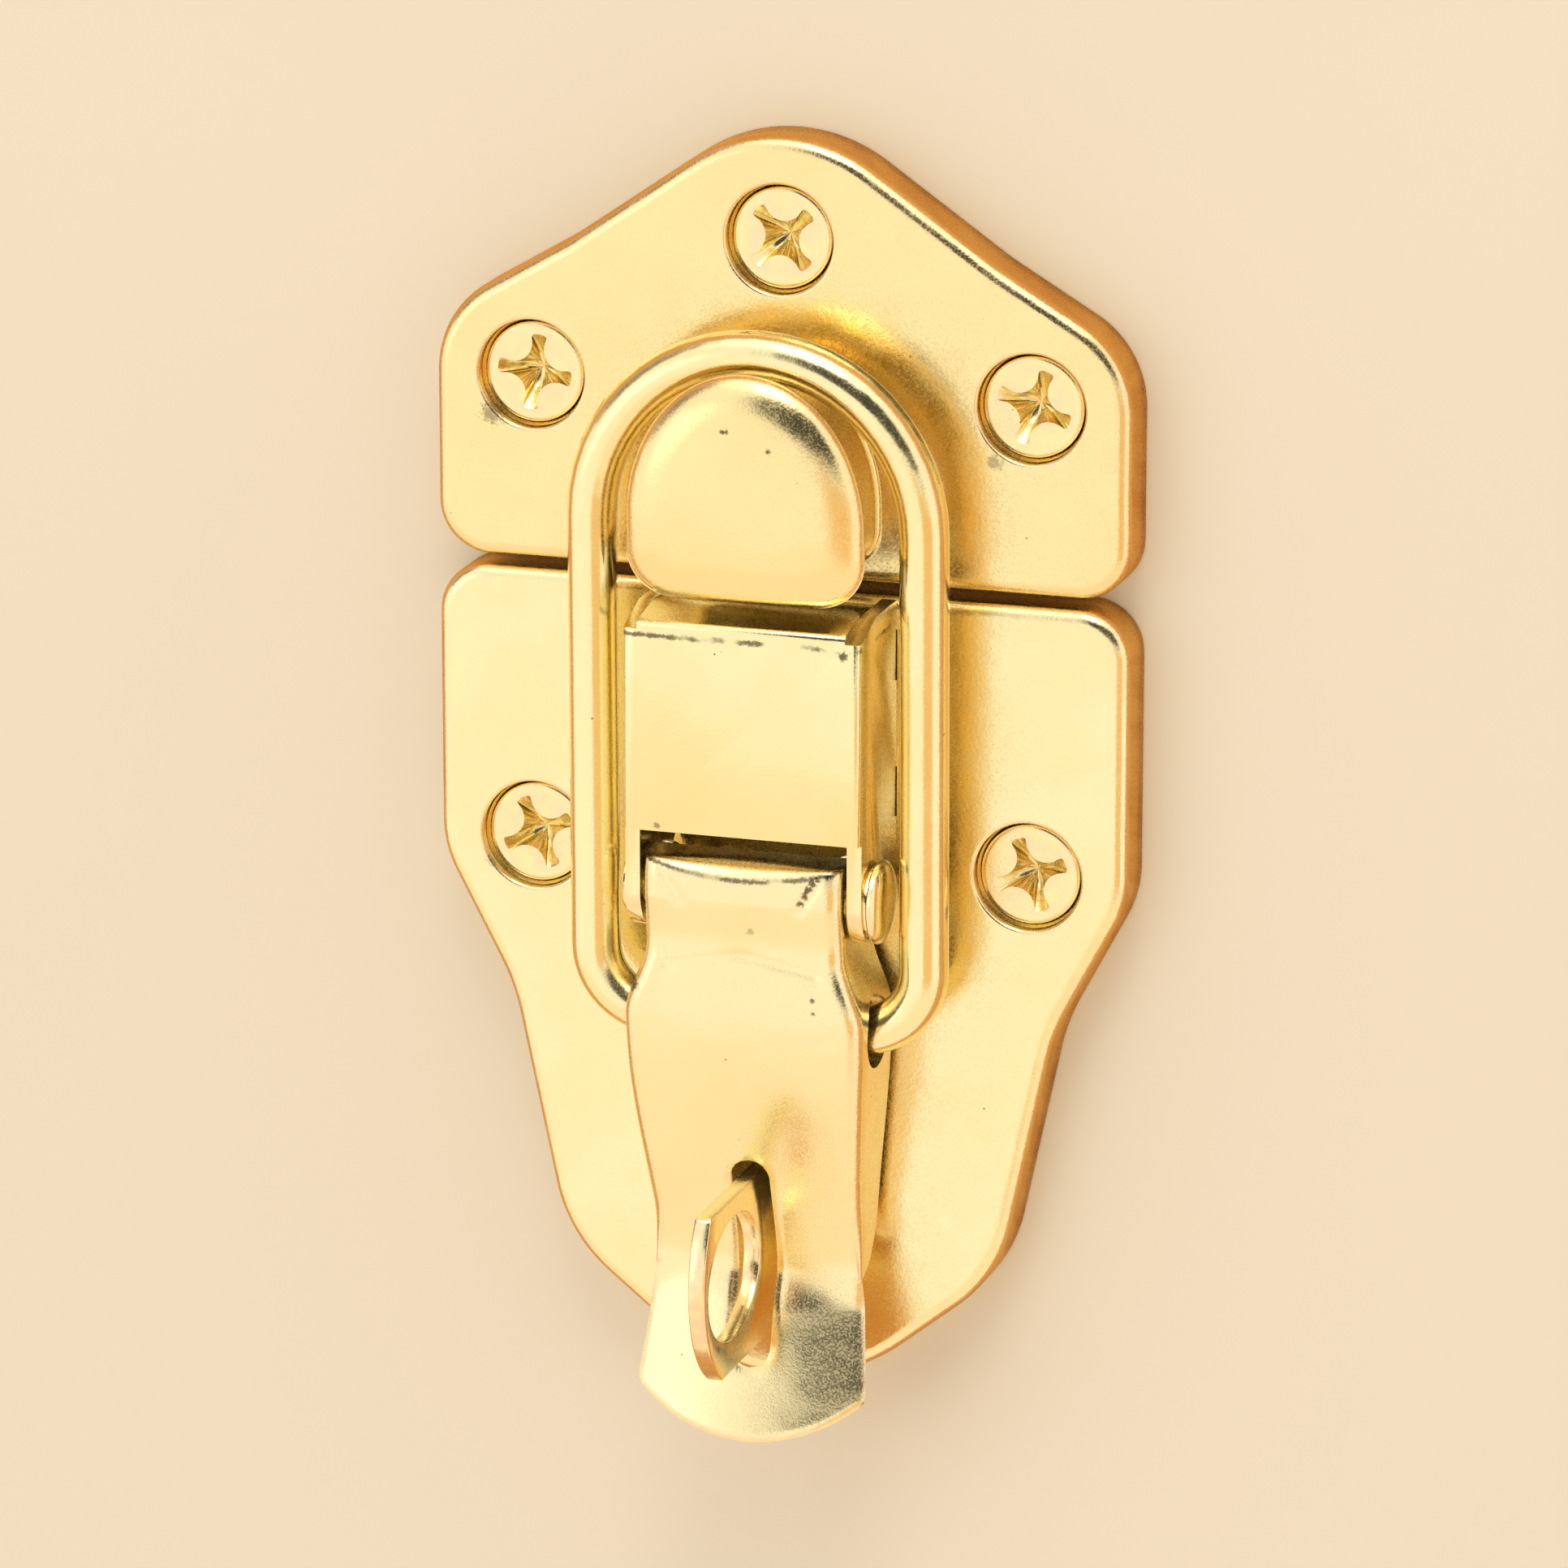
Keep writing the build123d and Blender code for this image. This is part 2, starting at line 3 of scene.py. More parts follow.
import bmesh
import bpy
import numpy as np
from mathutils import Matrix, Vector


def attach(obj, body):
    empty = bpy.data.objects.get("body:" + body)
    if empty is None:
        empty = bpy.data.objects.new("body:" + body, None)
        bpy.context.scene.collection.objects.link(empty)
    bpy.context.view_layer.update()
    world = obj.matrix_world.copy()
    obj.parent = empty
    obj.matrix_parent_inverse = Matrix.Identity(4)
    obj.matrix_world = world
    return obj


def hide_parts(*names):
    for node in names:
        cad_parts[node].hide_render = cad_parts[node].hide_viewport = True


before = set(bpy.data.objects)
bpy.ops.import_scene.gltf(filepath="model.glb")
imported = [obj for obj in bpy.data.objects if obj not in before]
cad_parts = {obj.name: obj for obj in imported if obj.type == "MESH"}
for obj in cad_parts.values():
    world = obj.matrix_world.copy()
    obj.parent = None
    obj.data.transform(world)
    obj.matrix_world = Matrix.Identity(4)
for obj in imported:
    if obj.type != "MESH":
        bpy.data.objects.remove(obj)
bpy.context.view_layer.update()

mm = 0.001
plateTop = 3.7  # the pan plates' top over the wall, in mm
roundedAngle = 40  # degrees, folds sharper than this are rounded off
scene = bpy.context.scene


# A point from its place across, its distance out from the wall and its place up, in mm
def at(across, out, up):
    return Vector((across * mm, -out * mm, up * mm))


def turnBetween(start, end):
    return (end - start + math.pi) % (2 * math.pi) - math.pi


# Corners are (across, up, radius), listed against the clock
def roundedOutline(corners, step):
    outline = []
    count = len(corners)
    for index, (across, up, radius) in enumerate(corners):
        corner = Vector((across, up))
        before = (Vector(corners[index - 1][:2]) - corner).normalized()
        after = (Vector(corners[(index + 1) % count][:2]) - corner).normalized()
        half = before.angle(after) / 2
        reach = radius / math.tan(half)
        centre = corner + (before + after).normalized() * radius / math.sin(half)
        start = corner + before * reach - centre
        end = corner + after * reach - centre
        first = math.atan2(start.y, start.x)
        turn = turnBetween(first, math.atan2(end.y, end.x))
        pieces = max(3, round(abs(turn) * radius / step))
        for piece in range(pieces + 1):
            angle = first + turn * piece / pieces
            outline.append(centre + Vector((math.cos(angle), math.sin(angle))) * radius)
    return evenOutline(outline, step)


# Straight runs get points too, a step apart
def evenOutline(outline, step):
    even = []
    for index, point in enumerate(outline):
        after = outline[(index + 1) % len(outline)]
        run = (after - point).length
        if run < step / 50:
            continue
        pieces = max(1, round(run / step))
        even += [point.lerp(after, piece / pieces) for piece in range(pieces)]
    return even


def insetOutline(outline, inset):
    moved = []
    for index, point in enumerate(outline):
        along = outline[(index + 1) % len(outline)] - outline[index - 1]
        moved.append(point + Vector((-along.y, along.x)).normalized() * inset)
    return moved


def circleOutline(across, up, radius, count):
    angles = [2 * math.pi * index / count for index in range(count)]
    return [Vector((across + radius * math.cos(a), up + radius * math.sin(a))) for a in angles]


# Quarter of a rounded edge as (inward, outward) shares of its radius
def quarter(pieces):
    angles = [math.pi / 2 * piece / pieces for piece in range(pieces + 1)]
    return [(1 - math.cos(a), math.sin(a)) for a in angles]


def addRing(bm, outline, out):
    if callable(out):
        return [bm.verts.new(at(p.x, out(p), p.y)) for p in outline]
    return [bm.verts.new(at(p.x, out, p.y)) for p in outline]


# Faces between each ring and the next
def skin(bm, rings):
    for lower, upper in zip(rings, rings[1:]):
        for index in range(len(lower)):
            after = (index + 1) % len(lower)
            bm.faces.new((lower[index], lower[after], upper[after], upper[index]))


def fan(bm, ring, tip):
    for index, vert in enumerate(ring):
        bm.faces.new((vert, ring[(index + 1) % len(ring)], tip))


# Flat sheet between an outer ring and the rings of its holes
def fillFlat(bm, rings):
    edges = []
    for ring in rings:
        for index, vert in enumerate(ring):
            other = ring[(index + 1) % len(ring)]
            edges.append(bm.edges.get((vert, other)) or bm.edges.new((vert, other)))
    bmesh.ops.triangle_fill(bm, use_beauty=True, use_dissolve=False, edges=edges)


def addObject(name, data):
    piece = bpy.data.objects.new(name, data)
    scene.collection.objects.link(piece)
    return piece


def finishMesh(bm, name):
    bmesh.ops.remove_doubles(bm, verts=bm.verts, dist=1e-7)
    bmesh.ops.recalc_face_normals(bm, faces=bm.faces)
    mesh = bpy.data.meshes.new(name)
    bm.to_mesh(mesh)
    bm.free()
    for face in mesh.polygons:
        face.use_smooth = True
    return addObject(name, mesh)


# The mesh of a piece with its modifiers made real
def plainMesh(piece):
    bpy.context.view_layer.update()
    shaped = piece.evaluated_get(bpy.context.evaluated_depsgraph_get())
    return bpy.data.meshes.new_from_object(shaped)


def applyModifiers(piece):
    mesh = plainMesh(piece)
    piece.modifiers.clear()
    piece.data = mesh


def roundEdges(piece, width, pieces):
    bevel = piece.modifiers.new("soft edges", "BEVEL")
    bevel.width = width * mm
    bevel.segments = pieces
    bevel.limit_method = "ANGLE"
    bevel.angle_limit = math.radians(roundedAngle)
    bevel.use_clamp_overlap = True
    bevel.harden_normals = True
    applyModifiers(piece)


def smoothByAngle(piece, angle):
    piece.data.set_sharp_from_angle(angle=math.radians(angle))
    for face in piece.data.polygons:
        face.use_smooth = True


def cutAway(piece, cutter):
    cut = piece.modifiers.new("cut", "BOOLEAN")
    cut.operation = "DIFFERENCE"
    cut.solver = "EXACT"
    cut.object = cutter
    applyModifiers(piece)
    bpy.data.objects.remove(cutter)


# Ring round a line across the latch, its radius a function of the angle
def crossRing(bm, across, out, up, radiusAt, pieces):
    ring = []
    for index in range(pieces):
        angle = 2 * math.pi * index / pieces
        radius = radiusAt(angle)
        place = at(across, out + radius * math.cos(angle), up + radius * math.sin(angle))
        ring.append(bm.verts.new(place))
    return ring


def crossRod(name, radius, half, out, up):
    bm = bmesh.new()
    rings = [crossRing(bm, side, out, up, lambda angle: radius, 48) for side in (-half, half)]
    skin(bm, rings)
    bm.faces.new(rings[0])
    bm.faces.new(rings[1])
    return finishMesh(bm, name)


print("stage 1: helpers ready")


class Nodes:
    # Small helper that adds nodes to a tree and joins them
    def __init__(self, tree):
        self.tree = tree

    def add(self, kind, values=None, **settings):
        node = self.tree.nodes.new(kind)
        for key, value in settings.items():
            setattr(node, key, value)
        for key, value in (values or {}).items():
            if isinstance(value, bpy.types.NodeSocket):
                self.tree.links.new(value, node.inputs[key])
            else:
                node.inputs[key].default_value = value
        return node

    def maths(self, operation, first, second=0.0, third=None):
        values = {0: first, 1: second}
        if third is not None:
            values[2] = third
        return self.add("ShaderNodeMath", values, operation=operation).outputs[0]

    def ramp(self, value, low, high, toLow=0.0, toHigh=1.0):
        values = {"Value": value, "From Min": low, "From Max": high}
        values.update({"To Min": toLow, "To Max": toHigh})
        node = self.add("ShaderNodeMapRange", values, interpolation_type="SMOOTHSTEP")
        return node.outputs[0]

    def noise(self, place, size, detail=2.0, rough=0.5, stretch=0.0):
        values = {"Vector": place, "Scale": 1 / (size * mm), "Detail": detail}
        values.update({"Roughness": rough, "Distortion": stretch})
        return self.add("ShaderNodeTexNoise", values).outputs["Fac"]

    def mix(self, factor, first, second):
        node = self.add("ShaderNodeMix", {0: factor, 6: first, 7: second}, data_type="RGBA")
        return node.outputs[2]


# Nodes of a material or a world, started from nothing
def freshNodes(owner):
    owner.use_nodes = True
    owner.node_tree.nodes.clear()
    return Nodes(owner.node_tree)


brassLook = {
    "bright": (0.95, 0.822, 0.45, 1),  # fresh plating
    "deep": (0.93, 0.75, 0.36, 1),  # thicker, redder plating in broad patches
    "worn": (0.93, 0.67, 0.43, 1),  # rubbed edges, a little pink
    "speck": (0.10, 0.075, 0.035, 1),  # tiny pits with dark dirt in them
    "patchSize": 7.0,  # mm
    "patchMix": 0.42,
    "wornSize": 1.1,
    "wornMix": 0.65,
    "peelSize": 0.2,
    "peelDepth": 0.010,
    "dentSize": 2.6,
    "dentDepth": 0.04,
    "grainSize": 0.09,
    "grainDepth": 0.0015,
    "lineSize": 0.11,  # polishing lines
    "lineDepth": 0.0012,
    "lineDraw": (1, 1, 0.06),  # how they are drawn out along the piece
    "lineTilt": 0.25,
    "smudgeSize": 3.4,
    "roughLow": 0.14,
    "roughHigh": 0.24,
    "mottleSize": 0.13,  # fine duller grains
    "mottle": 0.11,
    # tiny pits with dark dirt in them, dirt spots, and painted dark reflections on the lever
    "speckSize": 0.55,
    "speckShare": 0.30,
    "speckMix": 0.8,
    "speckRough": 0.3,
    "speckPatch": 1.9,
    "raggedSize": 0.3,  # borders of the dirt
    "ragged": 2.6,
    "spots": [],  # dark spots, some of dirt and those on the lever's roll and shoulder painted dark reflection: across, out from the wall, up, radius in mm, strength
    # dark lines across, such as the painted dark reflection along the lever's crease: up in the
    # middle, rise per square mm towards the sides, half width, strength, and the level of noise
    # above which the line shows
    "bands": [],
    "seed": 0.0,
}


def brassFinish(name, **changes):
    look = {**brassLook, **changes}
    material = bpy.data.materials.new(name)
    nodes = freshNodes(material)
    here = nodes.add("ShaderNodeTexCoord").outputs["Object"]
    moved = (look["seed"] * mm * 37, 0, look["seed"] * mm * 11)
    place = nodes.add("ShaderNodeMapping", {"Vector": here, "Location": moved}).outputs[0]

    # Broad patches of thicker and thinner plating
    patch = nodes.ramp(nodes.noise(place, look["patchSize"], 3, 0.55), 0.38, 0.68)
    thick = nodes.maths("MULTIPLY", patch, look["patchMix"])
    colour = nodes.mix(thick, look["bright"], look["deep"])

    # Rubbed edges, from how sharply the mesh turns at each point
    edge = nodes.add("ShaderNodeAttribute", attribute_name="rub").outputs["Fac"]
    handled = nodes.ramp(nodes.noise(place, look["wornSize"], 3), 0.33, 0.62)
    worn = nodes.maths("MULTIPLY", nodes.maths("MULTIPLY", edge, handled), look["wornMix"])
    colour = nodes.mix(worn, colour, look["worn"])

    # Dirt, scuffs, and painted dark reflections, at known places
    ragged = nodes.noise(place, look["raggedSize"], 4, 0.7)
    uneven = nodes.maths("MULTIPLY_ADD", ragged, look["ragged"], -look["ragged"] / 2)
    for *centre, radius, strength in look["spots"]:
        there = nodes.add("ShaderNodeVectorMath", {0: here, 1: at(*centre)}, operation="DISTANCE")
        away = there.outputs["Value"]
        reach = nodes.maths("ADD", nodes.maths("DIVIDE", away, radius * mm), uneven)
        colour = nodes.mix(nodes.ramp(reach, 0.3, 1.0, strength, 0.0), colour, look["speck"])
    parts = nodes.add("ShaderNodeSeparateXYZ", {0: here}).outputs
    # Dark lines across, painted where a crease mirrors dark surroundings
    for up, rise, half, strength, low in look["bands"]:
        square = nodes.maths("MULTIPLY", parts[0], parts[0])
        line = nodes.maths("MULTIPLY_ADD", square, rise / mm, up * mm)
        away = nodes.maths("ABSOLUTE", nodes.maths("SUBTRACT", parts[2], line))
        reach = nodes.maths("ADD", nodes.maths("DIVIDE", away, half * mm), uneven)
        patchy = nodes.ramp(nodes.noise(place, 2.2, 2), low, low + 0.14)
        darkened = nodes.maths("MULTIPLY", nodes.ramp(reach, 0.2, 1.0, strength, 0.0), patchy)
        colour = nodes.mix(darkened, colour, look["speck"])

    # Pits: in some patches, a few cells of a fine pattern hold a dark dot
    scale = 1 / (look["speckSize"] * mm)
    cells = nodes.add("ShaderNodeTexVoronoi", {"Vector": place, "Scale": scale, "Randomness": 1.0})
    dot = nodes.ramp(cells.outputs["Distance"], 0.05, 0.17, 1, 0)
    chosen = nodes.ramp(nodes.noise(place, look["speckPatch"], 2), 0.60, 0.70)
    pick = nodes.add("ShaderNodeSeparateColor", {0: cells.outputs["Color"]}).outputs[0]
    few = nodes.maths("GREATER_THAN", pick, 1 - look["speckShare"])
    speck = nodes.maths("MULTIPLY", nodes.maths("MULTIPLY", dot, chosen), few)
    colour = nodes.mix(nodes.maths("MULTIPLY", speck, look["speckMix"]), colour, look["speck"])

    # Satin sheen that varies with handling
    smudge = nodes.noise(place, look["smudgeSize"], 4, 0.6, 0.6)
    rough = nodes.ramp(smudge, 0.3, 0.72, look["roughLow"], look["roughHigh"])
    grains = nodes.noise(place, look["mottleSize"], 3, 0.65)
    mottle = nodes.ramp(grains, 0.46, 0.62, 0.0, look["mottle"])
    dull = nodes.maths("MULTIPLY_ADD", speck, look["speckRough"], mottle)
    rough = nodes.maths("ADD", rough, dull)

    # Relief: shallow dents, orange peel, polishing lines and fine grain
    stretch = {"Scale": look["lineDraw"], "Rotation": (0, look["lineTilt"], 0)}
    drawn = nodes.add("ShaderNodeMapping", {"Vector": place, **stretch}).outputs[0]
    reliefs = [
        (nodes.noise(place, look["dentSize"], 1), look["dentDepth"]),
        (nodes.noise(place, look["peelSize"], 2), look["peelDepth"]),
        (nodes.noise(drawn, look["lineSize"], 2, 0.6), look["lineDepth"]),
        (nodes.noise(place, look["grainSize"], 2), look["grainDepth"]),
    ]
    surface = {"Base Color": colour, "Metallic": 1.0, "Roughness": rough}
    under = {}
    for height, depth in reliefs:
        bump = nodes.add("ShaderNodeBump", {"Height": height, "Distance": depth * mm, **under})
        under = {"Normal": bump.outputs[0]}
    metal = nodes.add("ShaderNodeBsdfPrincipled", {**surface, **under})
    nodes.add("ShaderNodeOutputMaterial", {0: metal.outputs[0]})
    return material


finishes = {
    "keeper_plate": brassFinish(
        "keeper brass",
        seed=1.0,
        bright=(0.95, 0.765, 0.38, 1),
        mottle=0.16,
        deep=(0.93, 0.712, 0.322, 1),
        spots=[
            (-0.9, 11.9, 11.0, 0.22, 0.9),
            (-0.6, 11.9, 11.0, 0.2, 0.9),
            (1.9, 11.9, 10.0, 0.22, 0.9),
            (-17.9, 3.7, 9.1, 0.9, 0.6),
            (13.3, 3.7, 8.3, 0.6, 0.5),
        ],
    ),
    "base_plate": brassFinish("base brass", seed=2.0, spots=[(-18.0, 3.7, -18.6, 0.5, 0.5)]),
    "bracket": brassFinish(
        "bracket brass",
        seed=3.0,
        spots=[(6.3, 11.2, -2.1, 0.35, 0.9), (-5.2, 11.2, -13.3, 0.25, 0.6)],
        bands=[(-1.75, 0.0, 0.22, 0.85, 0.42)],
    ),
    "pin": brassFinish("rivet brass", seed=4.0, peelDepth=0.004, dentDepth=0.01),
    "staple": brassFinish(
        "staple brass",
        seed=5.0,
        peelDepth=0.005,
        worn=(0.90, 0.62, 0.44, 1),
        spots=[(0.5, 17.2, -43.4, 0.3, 0.7), (0.0, 17.6, -42.2, 0.2, 0.7)],
    ),
    "lever": brassFinish(
        "lever brass",
        seed=6.0,
        bright=(0.95, 0.803, 0.45, 1),
        deep=(0.94, 0.75, 0.398, 1),
        peelSize=0.13,
        peelDepth=0.007,
        roughLow=0.14,
        roughHigh=0.22,
        mottle=0.18,
        spots=[
            # Painted dark reflection and dirt where the bail meets the lever's left edge
            (-6.9, 11.0, -23.2, 0.7, 0.95),
            # Painted dark reflection: dark dots beside the shoulder's pressed line
            (4.5, 11.3, -23.2, 0.22, 0.8),
            (4.55, 11.3, -24.0, 0.22, 0.8),
            (0.6, 11.2, -19.3, 0.3, 0.4),
            # Painted dark reflection along the crease that runs down the roll's right side
            (4.75, 11.3, -15.7, 0.34, 0.85),
            (4.5, 11.35, -16.0, 0.36, 0.9),
            (4.25, 11.4, -16.4, 0.36, 0.9),
            (4.0, 11.4, -16.85, 0.32, 0.9),
            (3.75, 11.4, -17.3, 0.26, 0.9),
        ],
        # Painted dark reflection along the crease under the rolled end
        bands=[(-16.22, 0.0264, 0.2, 0.8, 0.30)],
    ),
    "bail": brassFinish(
        "wire brass", seed=7.0, peelDepth=0.004, dentDepth=0.02, roughLow=0.13, roughHigh=0.2
    ),
    "screws": brassFinish(
        "screw brass", seed=8.0, bright=(0.95, 0.807, 0.407, 1), peelDepth=0.004, dentDepth=0.01
    ),
}
print("stage 2: finishes ready")


# Bend per mm at which an edge starts to look rubbed, how much more makes it fully rubbed, and
# the size in square mm of a face that stays clean
rubSizes = {"start": 0.6, "range": 1.6, "cleanFace": 0.3}


# How sharply the mesh turns outwards at each point, 0 to 1, kept for the finishes
def markRub(piece):
    mesh = piece.data
    spots = np.empty(len(mesh.vertices) * 3)
    normals = np.empty(len(mesh.vertices) * 3)
    pairs = np.empty(len(mesh.edges) * 2, int)
    areas = np.empty(len(mesh.polygons))
    mesh.vertices.foreach_get("co", spots)
    mesh.vertices.foreach_get("normal", normals)
    mesh.edges.foreach_get("vertices", pairs)
    mesh.polygons.foreach_get("area", areas)
    spots, normals = spots.reshape(-1, 3), normals.reshape(-1, 3)
    first, second = pairs.reshape(-1, 2).T
    run = spots[second] - spots[first]
    turn = normals[second] - normals[first]
    bend = (turn * run).sum(1) * mm / np.maximum((run * run).sum(1), 1e-12)
    rub = np.zeros(len(spots))
    np.maximum.at(rub, first, bend)
    np.maximum.at(rub, second, bend)
    rub = np.clip((rub - rubSizes["start"]) / rubSizes["range"], 0, 1)
    # Corners of large flat faces stay clean, so that no streak runs across them
    for face in np.nonzero(areas > rubSizes["cleanFace"] * mm * mm)[0]:
        for vert in mesh.polygons[face].vertices:
            rub[vert] = 0.0
    mark = mesh.attributes.new("rub", "FLOAT", "POINT")
    mark.data.foreach_set("value", rub)


def dress(piece, body, slotName, *nodes):
    markRub(piece)
    piece.data.materials.clear()
    piece.data.materials.append(finishes[slotName])
    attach(piece, body)
    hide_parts(*nodes)
    print("piece", piece.name, len(piece.data.polygons), "faces")


panSizes = {
    "sheet": 1.1,
    "edge": 0.9,  # rounding between skirt and top
    "innerEdge": 0.3,
    "rimEdge": 0.12,
    "flat": 0.08,  # level ring beside a rounding
    "step": 0.3,
    "smooth": 50,  # degrees
}
dishSizes = {
    "radius": 3.3,
    "lip": 0.2,
    "count": 72,
    # (radius, distance from the wall): wall and countersink, the hole, then back up behind
    "section": [
        (3.3, 3.05),
        (3.24, 2.91),
        (1.81, 1.48),
        (1.75, 1.34),
        (1.75, 0.06),
        (1.81, 0),
        (2.77, 0),
        (2.89, 0.1),
        (4.25, 1.45),
        (4.35, 1.62),
        (4.35, 2.45),
        (4.47, 2.6),
    ],
}
roof = plateTop - panSizes["sheet"]


# Rings of a pan from its inner roof over the rim and the skirt to its top
def panRings(bm, outline):
    keys = ("sheet", "edge", "innerEdge", "rimEdge", "flat")
    sheet, edge, inner, rim, flat = (panSizes[key] for key in keys)
    small = rim * 0.3
    profile = [(sheet + inner + flat, roof)]
    profile += [
        (sheet + inner * share, roof - inner * (1 - rise)) for share, rise in reversed(quarter(4))
    ]
    profile += [(sheet, rim), (sheet - small, small), (sheet - rim, 0), (rim, 0)]
    profile += [(small, small), (0, rim)]
    profile += [(edge * share, plateTop - edge * (1 - rise)) for share, rise in quarter(10)]
    profile += [(edge + flat, plateTop)]
    rings = [addRing(bm, insetOutline(outline, inset), out) for inset, out in profile]
    skin(bm, rings)
    return rings[-1], rings[0]


# Dished screw hole: rounded lip, straight wall, countersink, hole and its foot behind
def dishRings(bm, across, up):
    size = dishSizes
    radius, lip = size["radius"], size["lip"]
    profile = [(radius + lip + panSizes["flat"], plateTop)]
    profile += [(radius + lip * (1 - rise), plateTop - lip * share) for share, rise in quarter(7)]
    profile += size["section"]
    rings = [addRing(bm, circleOutline(across, up, r, size["count"]), out) for r, out in profile]
    skin(bm, rings)
    return rings[0], rings[-1]


# Corners of a rectangle, against the clock
def fourCorners(across, up, wide, long):
    signs = ((-1, -1), (1, -1), (1, 1), (-1, 1))
    return [(across + a * wide / 2, up + b * long / 2) for a, b in signs]


def slotRings(bm, *place):
    corners = [Vector(corner) for corner in fourCorners(*place)]
    rings = [addRing(bm, corners, out) for out in (plateTop, roof)]
    skin(bm, rings)
    return rings


keeperCorners = [
    (-21.45, 0.28, 3.2),
    (21.45, 0.28, 3.2),
    (21.45, 14.95, 6.2),
    (13.2, 19.8, 15.0),
    (0, 28.95, 9.9),
    (-13.2, 19.8, 15.0),
    (-21.45, 14.95, 6.2),
]
baseCorners = [
    (0, -53.1, 12.0),
    (13.7, -42.1, 9.5),
    (17.0, -26.5, 13.0),
    (21.45, -18.1, 7.0),
    (21.45, -0.28, 3.1),
    (-21.45, -0.28, 3.1),
    (-21.45, -18.1, 7.0),
    (-17.0, -26.5, 13.0),
    (-13.7, -42.1, 9.5),
]
hookSizes = {
    "half": 7.3,
    "bottom": 0.45,
    "middle": 5.1,  # where the half ellipse starts
    "top": 14.1,
    "corner": 2.8,
    "overhang": 1.2,
    "brimLow": 10.025,  # the brim's underside, from the wall
    "brimFillet": 0.25,
    "crown": 11.975,
    "crownRadius": 45.0,
    "crownMiddle": (0, 6.9),
    "crownShares": (0.95, 0.86, 0.75, 0.63, 0.5, 0.37, 0.24, 0.12),
    "rimWide": 2.4,
    "rimTall": 1.15,
    "wall": 1.0,
    "root": 0.3,
    "hollowRoot": 0.4,
    "hollowTop": 0.6,
    "count": 24,  # points on each straight run
}


# Thimble outline of the hook, moved in by an inset, with the same count of points each time
def hookOutline(inset):
    size = hookSizes
    half = size["half"] - inset
    low = size["bottom"] + inset
    middle = size["middle"]
    corner = size["corner"] - inset * 0.5
    rise = size["top"] - middle - inset
    count = size["count"]
    turns = [math.pi * index / (count * 4) for index in range(count * 4)]
    points = [Vector((half * math.cos(a), middle + rise * math.sin(a))) for a in turns]

    def run(start, end, pieces):
        start, end = Vector(start), Vector(end)
        points.extend(start.lerp(end, piece / pieces) for piece in range(pieces))

    def bend(across, first):
        for piece in range(count // 2):
            angle = first + math.pi / 2 * piece / (count // 2)
            arm = Vector((math.cos(angle), math.sin(angle))) * corner
            points.append(Vector((across, low + corner)) + arm)

    run((-half, middle), (-half, low + corner), count // 4)
    bend(-half + corner, math.pi)
    run((-half + corner, low), (half - corner, low), count)
    bend(half - corner, math.pi * 1.5)
    run((half, low + corner), (half, middle), count // 4)
    return points


def crownOut(point):
    size = hookSizes
    middle = (size["bottom"] + size["top"]) / 2
    away = point.x**2 + (point.y - middle) ** 2
    return size["crown"] - away / (2 * size["crownRadius"])


# The hook from its root up the neck, round the brim and over the crown
def hookRings(bm):
    size = hookSizes
    over, root, low, bend = (size[key] for key in ("overhang", "root", "brimLow", "brimFillet"))
    flat = [(over - root - 0.06, plateTop)]
    flat += [(over - root + root * rise, plateTop + root * share) for share, rise in quarter(4)]
    flat += [(over, low - 0.3)]
    flat += [(over - bend * share, low - bend + bend * rise) for share, rise in quarter(4)[1:]]
    flat += [(0.3, low), (0.12, low + 0.04), (0.03, low + 0.13)]
    rings = [addRing(bm, hookOutline(inset), out) for inset, out in flat]
    for share, rise in quarter(16):
        outline = hookOutline(size["rimWide"] * share)
        lift = size["rimTall"] * (1 - rise)
        rings.append(addRing(bm, outline, lambda p, lift=lift: max(crownOut(p) - lift, low + 0.2)))
    inner = hookOutline(size["rimWide"])
    centre = Vector(size["crownMiddle"])
    for share in size["crownShares"]:
        rings.append(addRing(bm, [centre.lerp(point, share) for point in inner], crownOut))
    skin(bm, rings)
    fan(bm, rings[-1], bm.verts.new(at(centre.x, crownOut(centre), centre.y)))
    return rings[0]


# The hook's hollow back
def hollowRings(bm):
    size = hookSizes
    inset = size["overhang"] + size["wall"]
    root, bend = size["hollowRoot"], size["hollowTop"]
    top = size["crown"] - size["wall"]
    flat = [(inset - root - 0.06, roof)]
    flat += [(inset - root + root * rise, roof + root * share) for share, rise in quarter(4)]
    flat += [(inset, top - bend - 0.1)]
    flat += [(inset + bend * share, top - bend + bend * rise) for share, rise in quarter(5)[1:]]
    rings = [addRing(bm, hookOutline(each), out) for each, out in flat]
    skin(bm, rings)
    bm.faces.new(rings[-1])
    return rings[0]


screwPlaces = {
    "keeper_screw_top": (0.0, 20.7, 42),
    "keeper_screw_left": (-15.4, 11.6, -8),
    "keeper_screw_right": (15.4, 11.6, -20),
    "base_screw_left": (-15.4, -16.8, 25),
    "base_screw_right": (15.4, -16.8, 20),
}


def panPlate(name, corners, screwNames, slots, withHook=False):
    bm = bmesh.new()
    rings = [panRings(bm, roundedOutline(corners, panSizes["step"]))]
    rings += [dishRings(bm, *screwPlaces[screwName][:2]) for screwName in screwNames]
    rings += [slotRings(bm, *slot) for slot in slots]
    if withHook:
        rings.append((hookRings(bm), hollowRings(bm)))
    for side in zip(*rings):
        fillFlat(bm, side)
    piece = finishMesh(bm, name)
    smoothByAngle(piece, panSizes["smooth"])
    return piece


